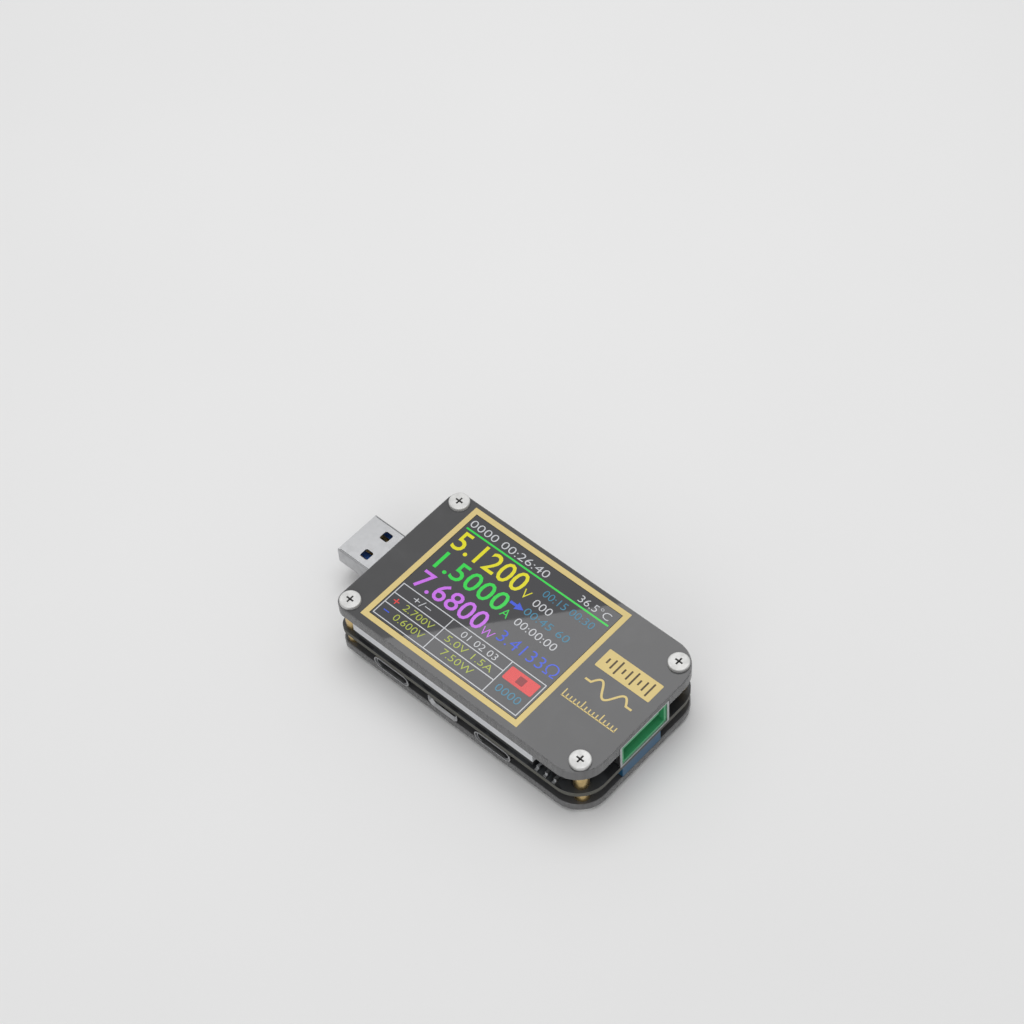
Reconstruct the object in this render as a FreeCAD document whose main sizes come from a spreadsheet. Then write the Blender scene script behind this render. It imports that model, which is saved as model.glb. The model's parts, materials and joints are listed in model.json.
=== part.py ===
import FreeCAD, Part
import math
import os

import Sketcher

# USB power meter: two acrylic plates held on brass spacers either side of a circuit board.
# Millimetres.  +X runs from the USB-A plug to the USB-A socket, +Y from the front edge
# (USB-C ports) to the rear edge (keys), +Z up.  The origin is under the middle of the whole
# object, in the plane of the lower screw heads that it stands on.

DRIVING_SIZES = {
    # screws and spacers
    "head_radius": 2.3,
    "head_thickness": 0.8,
    "head_rounding": 0.25,
    "shank_radius": 0.98,
    "screw_hole_radius": 1.1,
    "spacer_radius": 1.7,
    "spacer_bore_radius": 1.02,
    "recess_length": 1.9,
    "recess_width": 0.42,
    "recess_depth": 0.45,
    "thread_grip": 2.3,
    "plug_screw_end": 2.94,
    "plug_screw_side": 2.54,
    "socket_screw_end": 3.77,
    "socket_screw_side": 4.08,
    # plates and board
    "base_thickness": 2.0,
    "board_thickness": 1.2,
    "roof_thickness": 0.85,
    "plate_chamfer": 0.2,
    "plug_corner_radius": 3.0,
    "socket_corner_radius": 7.0,
    "layer_inset": 0.15,
    "part_gap": 0.16,
    # display
    "display_length": 50.0,
    "display_width": 37.0,
    "display_margin": 0.7,
    "display_gap": 0.1,
    "tray_thickness": 3.5,
    "pad_thickness": 1.5,
    "pad_inset": 0.15,
    "panel_thickness": 1.6,
    "window_front": 2.35,
    "window_rear": 1.75,
    "window_plug_side": 3.05,
    "window_socket_side": 6.25,
    "window_clearance": 0.1,
    "ribbon_width": 6.0,
    "ribbon_thickness": 0.2,
    "ribbon_reach": 0.9,
    "ribbon_drop": 0.9,
    "ribbon_grip": 0.63,
    "ribbon_side_wall": 0.96,
    "ribbon_end_wall": 0.64,
    # USB-A plug
    "plug_width": 12.0,
    "plug_height": 4.5,
    "plug_wall": 0.3,
    "plug_rounding": 0.45,
    "plug_reach": 12.1,
    "plug_root": 4.4,
    "plug_rise": 2.2,
    "plug_block_height": 1.95,
    "latch_length": 2.2,
    "latch_width": 2.3,
    "latch_from_tip": 5.8,
    "latch_offset": 3.02,
    "latch_rounding": 0.48,
    # USB-A socket
    "socket_width": 15.1,
    "socket_height": 7.2,
    "socket_length": 12.95,
    "socket_lip": 0.5,
    "socket_flare": 0.3,
    "socket_wall": 0.3,
    "socket_clearance": 0.15,
    "socket_display_gap": 0.75,
    "socket_mouth_width": 12.5,
    "socket_mouth_height": 5.12,
    "socket_mouth_depth": 9.2,
    "socket_face_depth": 0.3,
    "tongue_width": 11.1,
    "tongue_thickness": 1.84,
    "tongue_drop": 0.72,
    "contact_inner_row": 1.0,
    "contact_outer_row": 3.5,
    "contact_width": 1.0,
    "contact_thickness": 0.15,
    "contact_setback": 1.2,
    # USB-C ports
    "usb_c_width": 8.94,
    "usb_c_height": 3.16,
    "usb_c_wall": 0.3,
    "usb_c_length": 7.3,
    "usb_c_flange_width": 9.9,
    "usb_c_flange_thickness": 0.25,
    "usb_c_tongue_width": 6.69,
    "usb_c_tongue_thickness": 0.7,
    "usb_c_tongue_reach": 4.45,
    "usb_c_root_depth": 1.8,
    "usb_c_pad_pitch": 0.5,
    "usb_c_pad_width": 0.25,
    "usb_c_pad_length": 3.5,
    "usb_c_pad_thickness": 0.06,
    "port_clearance": 0.14,
    "input_port_place": 15.75,
    "charge_port_place": 30.4,
    "output_port_place": 44.1,
    # micro-USB ports
    "micro_width": 7.5,
    "micro_height": 2.45,
    "micro_wall": 0.25,
    "micro_length": 5.0,
    "micro_slope": 0.9,
    "micro_flare": 0.3,
    "micro_flare_length": 0.6,
    "micro_root_depth": 1.5,
    "micro_tongue_width": 3.7,
    "micro_tongue_thickness": 0.6,
    "micro_tongue_setback": 0.75,
    "micro_pad_pitch": 0.65,
    "micro_pad_width": 0.3,
    "micro_pad_thickness": 0.08,
    # keys
    "key_case_length": 6.0,
    "key_case_depth": 3.5,
    "key_case_wall": 0.5,
    "key_case_setback": 0.6,
    "key_floor_gap": 0.3,
    "key_width": 3.0,
    "key_height": 1.6,
    "key_proud": 1.0,
    "key_rounding": 0.4,
    "key_stem_radius": 0.4,
    "key_travel": 0.25,
    "key_clearance": 0.1,
    "key_flange": 0.5,
    "key_flange_thickness": 0.5,
    "dome_radius": 0.8,
    "dome_thickness": 0.2,
    # mode switch
    "switch_length": 7.0,
    "switch_depth": 2.9,
    "switch_height": 1.8,
    "switch_wall": 0.3,
    "switch_setback": 0.3,
    "knob_length": 1.5,
    "knob_height": 0.8,
    "knob_proud": 0.9,
    "knob_travel": 2.0,
    "carriage_length": 2.6,
    "slide_clearance": 0.08,
    "edge_tab": 1.0,
    # electronics
    "chip_length": 7.0,
    "chip_thickness": 1.4,
    "chip_rounding": 0.2,
    "lead_reach": 1.0,
    "lead_pitch": 0.5,
    "lead_width": 0.22,
    "lead_thickness": 0.15,
    "converter_length": 6.5,
    "converter_width": 4.4,
    "converter_thickness": 1.0,
    "converter_lead_pitch": 0.65,
    "shunt_length": 6.4,
    "shunt_width": 3.2,
    "shunt_thickness": 0.6,
    "inductor_length": 5.0,
    "inductor_width": 4.0,
    "inductor_thickness": 2.4,
    "inductor_rounding": 0.8,
    "crystal_length": 3.2,
    "crystal_width": 2.5,
    "crystal_thickness": 0.8,
    "regulator_length": 6.5,
    "regulator_width": 3.5,
    "regulator_thickness": 1.6,
    "regulator_pitch": 2.3,
    "regulator_leg_width": 0.7,
    "regulator_leg_thickness": 0.3,
    "regulator_leg_reach": 1.75,
    "regulator_knee_height": 0.95,
    "radio_length": 10.0,
    "radio_width": 11.8,
    "radio_shift": -0.9,
    "radio_floor_gap": 0.2,
    "capacitor_length": 1.6,
    "capacitor_width": 0.8,
    "resistor_length": 1.0,
    "resistor_width": 0.5,
}

WORKED_SIZES = {
    "upper_gap": "Sizes.pad_thickness + Sizes.tray_thickness + 2 * Sizes.display_gap",
    "lower_gap": "Sizes.usb_c_height + Sizes.port_clearance",
    "socket_pocket": "Sizes.socket_height + Sizes.socket_clearance - Worked.upper_gap",
    "top_thickness": "Worked.socket_pocket + Sizes.roof_thickness",
    "base_top": "Sizes.head_thickness + Sizes.base_thickness",
    "board_under": "Worked.base_top + Worked.lower_gap",
    "board_top": "Worked.board_under + Sizes.board_thickness",
    "roof_under": "Worked.board_top + Worked.upper_gap",
    "roof_top": "Worked.roof_under + Worked.top_thickness",
    "display_inset": "Sizes.plug_screw_end + Sizes.spacer_radius + Sizes.part_gap",
    "length": "Worked.display_inset + Sizes.display_length + Sizes.socket_display_gap"
              " + Sizes.socket_length",
    "width": "Sizes.display_width + 2 * Sizes.display_margin",
    "case_x": "Sizes.plug_reach / 2",
    "case_y": "-Sizes.key_proud / 2",
    "plug_end": "Worked.case_x - Worked.length / 2",
    "socket_end": "Worked.case_x + Worked.length / 2",
    "front": "Worked.case_y - Worked.width / 2",
    "rear": "Worked.case_y + Worked.width / 2",
    "display_start": "Worked.plug_end + Worked.display_inset",
    "display_end": "Worked.display_start + Sizes.display_length",
    "window_length": "Sizes.display_length - Sizes.window_plug_side - Sizes.window_socket_side",
    "window_width": "Sizes.display_width - Sizes.window_front - Sizes.window_rear",
    "window_start": "Worked.display_start + Sizes.window_plug_side",
    "window_low": "Worked.front + Sizes.display_margin + Sizes.window_front",
    "plug_under": "Worked.board_top + Sizes.plug_rise - Sizes.plug_height",
    "plug_tip": "Worked.plug_end - Sizes.plug_reach",
    "plug_back": "Worked.plug_end + Sizes.plug_root",
    "socket_body_width": "Sizes.socket_width - 2 * Sizes.socket_flare",
    "socket_body_height": "Sizes.socket_height - Sizes.socket_flare",
    "socket_under": "Worked.board_top + Sizes.socket_flare / 2",
    "socket_back": "Worked.socket_end - Sizes.socket_length",
    "mouth_under": "Worked.board_top + (Sizes.socket_height - Sizes.socket_mouth_height) / 2",
    "edge_start": "Worked.plug_end + Sizes.plug_screw_end + Sizes.spacer_radius",
    "edge_end": "Worked.socket_end - Sizes.socket_screw_end - Sizes.spacer_radius",
    "station_pitch": "(Worked.edge_end - Worked.edge_start) / 6",
    "key_case_height": "Worked.lower_gap - Sizes.key_floor_gap",
    "key_case_rear": "Worked.rear - Sizes.key_case_setback",
    "key_middle": "Worked.board_under - Worked.key_case_height / 2",
    "switch_rear": "Worked.rear - Sizes.switch_setback",
    "switch_middle": "Worked.board_under - Sizes.switch_height / 2",
    "ribbon_y": "Worked.case_y + (Sizes.socket_width / 2 + Worked.width / 2) / 2",
}

KEY_NAMES = ("menu_key", "left_key", "right_key", "confirm_key")
SWITCH_STATION = 4
LINK_STATION = 5
USB_C_PADS_PER_ROW = 12
MICRO_PADS = 5
CONTROLLER_LEADS_PER_SIDE = 12
CONVERTER_LEADS_PER_SIDE = 10
RESISTORS_PER_ROW = 7

# Places of the parts under the board, in millimetres along X and Y from the middle of the case.
CONTROLLER_PLACE = (-9.0, 1.5)
CONVERTER_PLACE = (5.0, 2.5)
SHUNT_PLACES = ((16.0, -4.0), (16.0, 0.5))
CRYSTAL_PLACE = (-18.0, 1.5)
INDUCTOR_PLACE = (22.0, 8.0)
CAPACITOR_PLACES = ((-23.0, -1.0), (-23.0, 2.0), (-15.0, -5.0), (-11.0, -6.0), (-3.0, -4.0),
                    (-1.0, 5.0), (10.5, 6.0), (11.0, -2.0), (11.0, 1.0), (14.0, -7.0))
RESISTOR_ROWS = (-7.5, 7.3)
RESISTOR_START = -18.0
RESISTOR_PITCH = 4.5

doc = FreeCAD.newDocument("usb_power_meter")
sheet = doc.addObject("Spreadsheet::Sheet", "Sizes")
worked = doc.addObject("App::VarSet", "Worked")
sub_parts = []


# ---------------------------------------------------------------- sizes and binding

def fill_sheet():
    """Writes each driving size in its own cell, with its name beside it."""
    for row, (name, size) in enumerate(DRIVING_SIZES.items(), start=1):
        sheet.set(f"A{row}", name)
        sheet.set(f"B{row}", str(size))
        sheet.setAlias(f"B{row}", name)
    doc.recompute()


def work_out_sizes():
    """Levels, ends and places that follow from the driving sizes."""
    for name, formula in WORKED_SIZES.items():
        worked.addProperty("App::PropertyFloat", name, "Worked", "")
        worked.setExpression(name, formula)
        doc.recompute()


def size(name):
    """A driving or worked-out size, as a number."""
    if name in WORKED_SIZES:
        return float(getattr(worked, name))
    return float(sheet.get(name))


def bind(item, **sizes):
    """Ties properties of an object to expressions on the sheet."""
    for prop, expression in sizes.items():
        item.setExpression(prop, expression)


def move(item, x="0", y="0", z="0"):
    """Ties an object's place to expressions on the sheet."""
    item.setExpression("Placement.Base.x", x)
    item.setExpression("Placement.Base.y", y)
    item.setExpression("Placement.Base.z", z)
    return item


def sub_part(label, item):
    """Names an object as a piece of the meter; the label names its file."""
    item.Label = label
    sub_parts.append(item)
    return item


# ---------------------------------------------------------------- blocks, rods and booleans

def block(name, length, width, height, x, y, z):
    """A block centred on x and y that stands on z."""
    item = doc.addObject("Part::Box", name)
    bind(item, Length=length, Width=width, Height=height)
    return move(item, f"({x}) - ({length}) / 2", f"({y}) - ({width}) / 2", z)


def rod(name, radius, height, x, y, z):
    """An upright cylinder that stands on z."""
    item = doc.addObject("Part::Cylinder", name)
    bind(item, Radius=radius, Height=height)
    return move(item, x, y, z)


def cross_rod(name, radius, depth, x, y, z):
    """A cylinder along +Y that starts at y."""
    item = rod(name, radius, depth, x, y, z)
    item.Placement.Rotation = FreeCAD.Rotation(FreeCAD.Vector(1, 0, 0), -90)
    return item


def cut(name, base, tool):
    """Base less tool."""
    item = doc.addObject("Part::Cut", name)
    item.Base = base
    item.Tool = tool
    return item


def fuse(name, *pieces):
    """Pieces joined into one solid."""
    item = doc.addObject("Part::MultiFuse", name)
    item.Shapes = list(pieces)
    return item


def group(name, pieces):
    """Separate solids that share one node."""
    item = doc.addObject("Part::Compound", name)
    item.Links = list(pieces)
    return item


def solids(name, shapes):
    """Separate solids made from shapes, in one object."""
    item = doc.addObject("Part::Feature", name)
    item.Shape = Part.makeCompound(shapes)
    return item


def rounded(name, base, radius, along):
    """Base with its edges along one axis rounded."""
    doc.recompute()
    item = doc.addObject("Part::Fillet", name)
    item.Base = base
    item.Edges = [(n, radius, radius) for n in edges_along(base.Shape, along)]
    return item


def edges_along(shape, axis):
    """Numbers of the straight edges that run along an axis."""
    found = []
    for number, edge in enumerate(shape.Edges, start=1):
        run = edge.Vertexes[-1].Point - edge.Vertexes[0].Point
        if run.Length > 1e-6 and abs(abs(run.normalize().dot(axis)) - 1) < 1e-6:
            found.append(number)
    return found


def pill(name, width, height, depth, x, y, z):
    """A flat-sided bar with round ends, centred on x and z, that runs along +Y from y."""
    radius = f"({height}) / 2"
    middle = doc.addObject("Part::Box", name + "_middle")
    bind(middle, Length=f"({width}) - ({height})", Width=depth, Height=height)
    move(middle, f"({x}) - (({width}) - ({height})) / 2", y, f"({z}) - ({height}) / 2")
    ends = []
    for side, sign in (("left", "-"), ("right", "+")):
        centre = f"({x}) {sign} (({width}) - ({height})) / 2"
        ends.append(cross_rod(f"{name}_{side}", radius, depth, centre, y, z))
    return fuse(name, middle, *ends)


X_AXIS = FreeCAD.Vector(1, 0, 0)
Y_AXIS = FreeCAD.Vector(0, 1, 0)
Z_AXIS = FreeCAD.Vector(0, 0, 1)


# ---------------------------------------------------------------- sketched plates

def base_plane(body, role="XY_Plane"):
    """A body's own origin plane."""
    return next(item for item in body.Origin.OriginFeatures if item.Role == role)


def new_sketch(body, name):
    """An empty sketch on the body's own XY plane."""
    sketch = body.newObject("Sketcher::SketchObject", name)
    sketch.AttachmentSupport = [(base_plane(body), "")]
    sketch.MapMode = "FlatFace"
    return sketch


def draw_rectangle(sketch, length, width, x="0", y="0"):
    """A rectangle whose sides and centre are tied to expressions."""
    corners = [(-1, -1), (1, -1), (1, 1), (-1, 1)]
    first = sketch.GeometryCount
    for start, end in zip(corners, corners[1:] + corners[:1]):
        line = Part.LineSegment(FreeCAD.Vector(*start, 0), FreeCAD.Vector(*end, 0))
        sketch.addGeometry(line, False)
    for side in range(4):
        following = first + (side + 1) % 4
        sketch.addConstraint(Sketcher.Constraint("Coincident", first + side, 2, following, 1))
    sketch.addConstraint(Sketcher.Constraint("Horizontal", first))
    sketch.addConstraint(Sketcher.Constraint("Vertical", first + 1))
    sketch.addConstraint(Sketcher.Constraint("Horizontal", first + 2))
    sketch.addConstraint(Sketcher.Constraint("Vertical", first + 3))
    tie(sketch, ("DistanceX", first, 1, first, 2), 2, length)
    tie(sketch, ("DistanceY", first + 1, 1, first + 1, 2), 2, width)
    tie(sketch, ("DistanceX", -1, 1, first, 1), -1, f"({x}) - ({length}) / 2")
    tie(sketch, ("DistanceY", -1, 1, first, 1), -1, f"({y}) - ({width}) / 2")


def draw_circle(sketch, radius, x, y):
    """A circle whose radius and centre are tied to expressions."""
    number = sketch.GeometryCount
    sketch.addGeometry(Part.Circle(FreeCAD.Vector(1, 1, 0), Z_AXIS, 1), False)
    tie(sketch, ("Radius", number), 1, radius)
    tie(sketch, ("DistanceX", -1, 1, number, 3), 1, x)
    tie(sketch, ("DistanceY", -1, 1, number, 3), 1, y)


def tie(sketch, terms, start, expression):
    """Adds a dimension to a sketch and ties it to an expression."""
    number = sketch.addConstraint(Sketcher.Constraint(*terms, start))
    sketch.setExpression(f"Constraints[{number}]", expression)


def cut_up(body, sketch, depth=None):
    """Cuts a sketch upwards from the body's XY plane, right through or to a depth."""
    doc.recompute()
    before = body.Shape.Volume
    pocket = body.newObject("PartDesign::Pocket", sketch.Name + "_cut")
    pocket.Profile = sketch
    pocket.Reversed = True
    if depth is None:
        pocket.Type = "ThroughAll"
    else:
        bind(pocket, Length=depth)
    doc.recompute()
    if body.Shape.Volume > before - 1e-6:
        raise ValueError(f"{sketch.Name} cuts nothing")
    return pocket


def vertical_edges(shape, side):
    """Names of the upright edges at the plug end (side -1) or the socket end (side 1)."""
    names = []
    for number in edges_along(shape, Z_AXIS):
        if shape.Edges[number - 1].CenterOfMass.x * side > 0:
            names.append(f"Edge{number}")
    return names


def rim_edges(shape):
    """Names of the edges that run round the upper and lower faces."""
    upright = edges_along(shape, Z_AXIS)
    return [f"Edge{n}" for n in range(1, len(shape.Edges) + 1) if n not in upright]


def plate_body(name, inset, thickness, chamfer=None):
    """A plate with tight corners at the plug end and wide ones at the socket end."""
    body = doc.addObject("PartDesign::Body", name)
    outline = new_sketch(body, name + "_outline")
    draw_rectangle(outline, f"Worked.length - 2 * ({inset})", f"Worked.width - 2 * ({inset})")
    pad = body.newObject("PartDesign::Pad", name + "_pad")
    pad.Profile = outline
    bind(pad, Length=thickness)
    doc.recompute()
    last = pad
    for side, radius in ((-1, "plug_corner_radius"), (1, "socket_corner_radius")):
        fillet = body.newObject("PartDesign::Fillet", f"{name}_{radius}")
        fillet.Base = (last, vertical_edges(last.Shape, side))
        bind(fillet, Radius=f"Sizes.{radius}")
        doc.recompute()
        last = fillet
    if chamfer:
        edge = body.newObject("PartDesign::Chamfer", name + "_chamfer")
        edge.Base = (last, rim_edges(last.Shape))
        bind(edge, Size=chamfer)
        doc.recompute()
    return body


def screw_places():
    """Expressions for the screws' places, from the middle of the case."""
    places = []
    for end, sign in (("plug", "-"), ("socket", "")):
        for side in ("-", ""):
            x = f"{sign}(Worked.length / 2 - Sizes.{end}_screw_end)"
            y = f"{side}(Worked.width / 2 - Sizes.{end}_screw_side)"
            places.append((x, y))
    return places


def drill_screw_holes(body):
    """Four clearance holes right through a plate."""
    sketch = new_sketch(body, body.Name + "_screw_holes")
    for x, y in screw_places():
        draw_circle(sketch, "Sizes.screw_hole_radius", x, y)
    cut_up(body, sketch)


def make_top_plate():
    """Clear upper plate: display window, and a pocket below for the socket."""
    body = plate_body("TopPlate", "0", "Worked.top_thickness", "Sizes.plate_chamfer")
    drill_screw_holes(body)
    window = new_sketch(body, "TopPlate_window")
    middle_x = "Worked.window_start + Worked.window_length / 2 - Worked.case_x"
    middle_y = "Worked.window_low + Worked.window_width / 2 - Worked.case_y"
    draw_rectangle(window, "Worked.window_length", "Worked.window_width", middle_x, middle_y)
    cut_up(body, window)
    pocket = new_sketch(body, "TopPlate_socket_pocket")
    # The pocket runs out through the end of the plate, so it is drawn twice as long.
    long_pocket = "2 * (Sizes.socket_length + Sizes.socket_clearance)"
    wide_pocket = "Sizes.socket_width + 2 * Sizes.socket_clearance"
    draw_rectangle(pocket, long_pocket, wide_pocket, "Worked.length / 2")
    cut_up(body, pocket, "Worked.socket_pocket")
    sub_part("top_plate", move(body, "Worked.case_x", "Worked.case_y", "Worked.roof_under"))


def make_bottom_plate():
    """Smoked lower plate."""
    body = plate_body("BottomPlate", "Sizes.layer_inset", "Sizes.base_thickness",
                      "Sizes.plate_chamfer")
    drill_screw_holes(body)
    place = ("Worked.case_x", "Worked.case_y", "Sizes.head_thickness")
    sub_part("bottom_plate", move(body, *place))


def make_main_board():
    """Circuit board with a notch that the plug sits in."""
    body = plate_body("MainBoard", "Sizes.layer_inset", "Sizes.board_thickness")
    drill_screw_holes(body)
    notch = new_sketch(body, "MainBoard_plug_notch")
    reach = "2 * (Sizes.plug_root + 2 * Sizes.part_gap)"
    draw_rectangle(notch, reach, "Sizes.plug_width + 2 * Sizes.part_gap", "-Worked.length / 2")
    cut_up(body, notch)
    sub_part("main_board", move(body, "Worked.case_x", "Worked.case_y", "Worked.board_under"))


# ---------------------------------------------------------------- screws and spacers

def make_spacers(label, height, under):
    """Four brass tubes between two layers."""
    tubes = []
    for number, (x, y) in enumerate(screw_places(), start=1):
        place = (f"Worked.case_x + {x}", f"Worked.case_y + {y}", under)
        outside = rod(f"{label}_{number}_outside", "Sizes.spacer_radius", height, *place)
        bore = rod(f"{label}_{number}_bore", "Sizes.spacer_bore_radius", height, *place)
        tubes.append(cut(f"{label}_{number}", outside, bore))
    sub_part(label, group(label, tubes))


def screw_solid(name, shank):
    """A thin-headed screw: head above z = 0 with a cross recess, shank below."""
    head = rod(name + "_head", "Sizes.head_radius", "Sizes.head_thickness", "0", "0", "0")
    doc.recompute()
    rim = doc.addObject("Part::Fillet", name + "_rim")
    rim.Base = head
    top = [n for n, edge in enumerate(head.Shape.Edges, start=1)
           if edge.Closed and edge.CenterOfMass.z > size("head_thickness") / 2]
    rim.Edges = [(n, size("head_rounding"), size("head_rounding")) for n in top]
    stem = rod(name + "_shank", "Sizes.shank_radius", shank, "0", "0", f"-({shank})")
    whole = fuse(name + "_blank", rim, stem)
    floor = "Sizes.head_thickness - Sizes.recess_depth"
    depth = "2 * Sizes.recess_depth"
    long_slot = ("Sizes.recess_length", "Sizes.recess_width", depth, "0", "0", floor)
    cross_slot = ("Sizes.recess_width", "Sizes.recess_length", depth, "0", "0", floor)
    cross = fuse(name + "_recess", block(name + "_slot", *long_slot),
                 block(name + "_cross_slot", *cross_slot))
    return cut(name, whole, cross)


def make_screws(label, shank, seat, turned):
    """Four screws, seated at a level, turned over for the underside."""
    master = screw_solid(label + "_screw", shank)
    copies = []
    for number, (x, y) in enumerate(screw_places(), start=1):
        copy = doc.addObject("App::Link", f"{label}_{number}")
        copy.LinkedObject = master
        if turned:
            copy.Placement.Rotation = FreeCAD.Rotation(X_AXIS, 180)
        move(copy, f"Worked.case_x + {x}", f"Worked.case_y + {y}", seat)
        copies.append(copy)
    sub_part(label, group(label, copies))


def make_fasteners():
    """Screws and spacers that hold the layers together."""
    make_spacers("upper_spacers", "Worked.upper_gap", "Worked.board_top")
    make_spacers("lower_spacers", "Worked.lower_gap", "Worked.base_top")
    make_screws("top_screws", "Worked.top_thickness + Sizes.thread_grip", "Worked.roof_top", False)
    lower_shank = "Worked.board_top - Sizes.head_thickness + Sizes.thread_grip"
    make_screws("bottom_screws", lower_shank, "Sizes.head_thickness", True)


# ---------------------------------------------------------------- display

def make_display():
    """Display cell in the window, its backlight tray, foam pad, ribbon and connector."""
    gap = "Sizes.window_clearance"
    cell_length = f"Worked.window_length - 2 * {gap}"
    cell_width = f"Worked.window_width - 2 * {gap}"
    middle_x = "Worked.window_start + Worked.window_length / 2"
    middle_y = "Worked.window_low + Worked.window_width / 2"
    panel = block("DisplayPanel", cell_length, cell_width, "Sizes.panel_thickness",
                  middle_x, middle_y, "Worked.roof_top - Sizes.panel_thickness")
    sub_part("display_panel", panel)
    tray_under = "Worked.board_top + Sizes.display_gap / 2 + Sizes.pad_thickness"
    display_x = "Worked.display_start + Sizes.display_length / 2"
    slab = block("TraySlab", "Sizes.display_length", "Sizes.display_width",
                 "Sizes.tray_thickness", display_x, "Worked.case_y", tray_under)
    rise = f"Worked.roof_top - Sizes.panel_thickness - ({tray_under})"
    plinth = block("TrayPlinth", cell_length, cell_width, rise, middle_x, middle_y, tray_under)
    sub_part("backlight_tray", fuse("BacklightTray", slab, plinth))
    pad = block("DisplayPad", "Sizes.display_length - 2 * Sizes.pad_inset",
                "Sizes.display_width - 2 * Sizes.pad_inset", "Sizes.pad_thickness",
                display_x, "Worked.case_y", "Worked.board_top + Sizes.display_gap / 2")
    sub_part("display_foam_pad", pad)


def make_ribbon():
    """Flat ribbon from the tray's end down to its connector, as three runs with round bends."""
    thick = size("ribbon_thickness")
    reach = size("ribbon_reach")
    drop = size("ribbon_drop")
    start = FreeCAD.Vector(size("display_end"), 0, size("board_top") + 2 * drop)
    bend = start + FreeCAD.Vector(reach - thick, 0, 0)
    middle = bend + FreeCAD.Vector(drop / 2, 0, -drop / 2)
    foot = bend + FreeCAD.Vector(drop, 0, -drop)
    end = foot + FreeCAD.Vector(reach, 0, 0)
    eighth = math.pi / 4
    bulge = FreeCAD.Vector(math.sin(eighth), 0, math.cos(eighth) - 1) * (drop / 2)
    upper_arc = Part.Arc(bend, bend + bulge, middle)
    lower_arc = Part.Arc(middle, foot - bulge, foot)
    path = Part.Wire([Part.LineSegment(start, bend).toShape(), upper_arc.toShape(),
                      lower_arc.toShape(), Part.LineSegment(foot, end).toShape()])
    width = size("ribbon_width")
    corner = start + FreeCAD.Vector(0, size("ribbon_y") - width / 2, -thick / 2)
    across = FreeCAD.Vector(0, width, 0)
    up = FreeCAD.Vector(0, 0, thick)
    section = Part.makePolygon([corner, corner + across, corner + across + up, corner + up, corner])
    path.translate(FreeCAD.Vector(0, size("ribbon_y"), 0))
    ribbon = doc.addObject("Part::Feature", "DisplayRibbon")
    ribbon.Shape = path.makePipeShell([section], True, False)
    sub_part("display_ribbon", ribbon)
    make_ribbon_connector(end)


def make_ribbon_connector(ribbon_end):
    """Connector that the ribbon's end slides into."""
    thick = size("ribbon_thickness")
    board = size("board_top")
    grip = size("ribbon_grip")
    length = 2 * grip + size("ribbon_end_wall")
    width = size("ribbon_width") + 2 * size("ribbon_side_wall")
    height = ribbon_end.z - board + 2 * thick + 2 * size("part_gap")
    low_y = size("ribbon_y") - width / 2
    start_x = ribbon_end.x - grip
    case = Part.makeBox(length, width, height, FreeCAD.Vector(start_x, low_y, board))
    slot_y = size("ribbon_y") - size("ribbon_width") / 2 - size("part_gap") / 2
    slot_low = FreeCAD.Vector(start_x, slot_y, ribbon_end.z - thick / 2 - size("part_gap") / 4)
    slot = Part.makeBox(grip + size("part_gap") / 2, size("ribbon_width") + size("part_gap"),
                        thick + size("part_gap") / 2, slot_low)
    connector = doc.addObject("Part::Feature", "RibbonConnector")
    connector.Shape = case.cut(slot)
    sub_part("ribbon_connector", connector)


# ---------------------------------------------------------------- USB-A plug and socket

def contact_rows():
    """Places across a USB-A connector of its four contacts."""
    inner = size("contact_inner_row")
    outer = size("contact_outer_row")
    return (-outer, -inner, inner, outer)


def make_plug():
    """USB-A plug that straddles the board: steel shell, blue block and four contacts."""
    length = "Sizes.plug_reach + Sizes.plug_root"
    middle_x = "(Worked.plug_tip + Worked.plug_back) / 2"
    tube = block("PlugTube", length, "Sizes.plug_width", "Sizes.plug_height",
                 middle_x, "Worked.case_y", "Worked.plug_under")
    tube = rounded("PlugTubeRounded", tube, size("plug_rounding"), X_AXIS)
    bore = block("PlugBore", length, "Sizes.plug_width - 2 * Sizes.plug_wall",
                 "Sizes.plug_height - 2 * Sizes.plug_wall", middle_x, "Worked.case_y",
                 "Worked.plug_under + Sizes.plug_wall")
    shell = cut("PlugShellPlain", tube, bore)
    windows = []
    for number, side in enumerate(("-", "+"), start=1):
        window = block(f"PlugLatch{number}", "Sizes.latch_length", "Sizes.latch_width",
                       "Sizes.plug_height", "Worked.plug_tip + Sizes.latch_from_tip",
                       f"Worked.case_y {side} Sizes.latch_offset", "Worked.plug_under")
        windows.append(rounded(f"PlugLatchRound{number}", window, size("latch_rounding"), Z_AXIS))
    sub_part("plug_shell", cut("PlugShell", shell, fuse("PlugLatches", *windows)))
    make_plug_block(middle_x)
    make_plug_contacts()


def make_plug_block(middle_x):
    """Moulded block in the lower half of the plug."""
    length = "Sizes.plug_reach + Sizes.plug_root - Sizes.plug_wall"
    body = block("PlugBlock", length, "Sizes.plug_width - 2 * Sizes.plug_wall",
                 "Sizes.plug_block_height", f"{middle_x} + Sizes.plug_wall / 2",
                 "Worked.case_y", "Worked.plug_under + Sizes.plug_wall")
    sub_part("plug_block", body)


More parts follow.
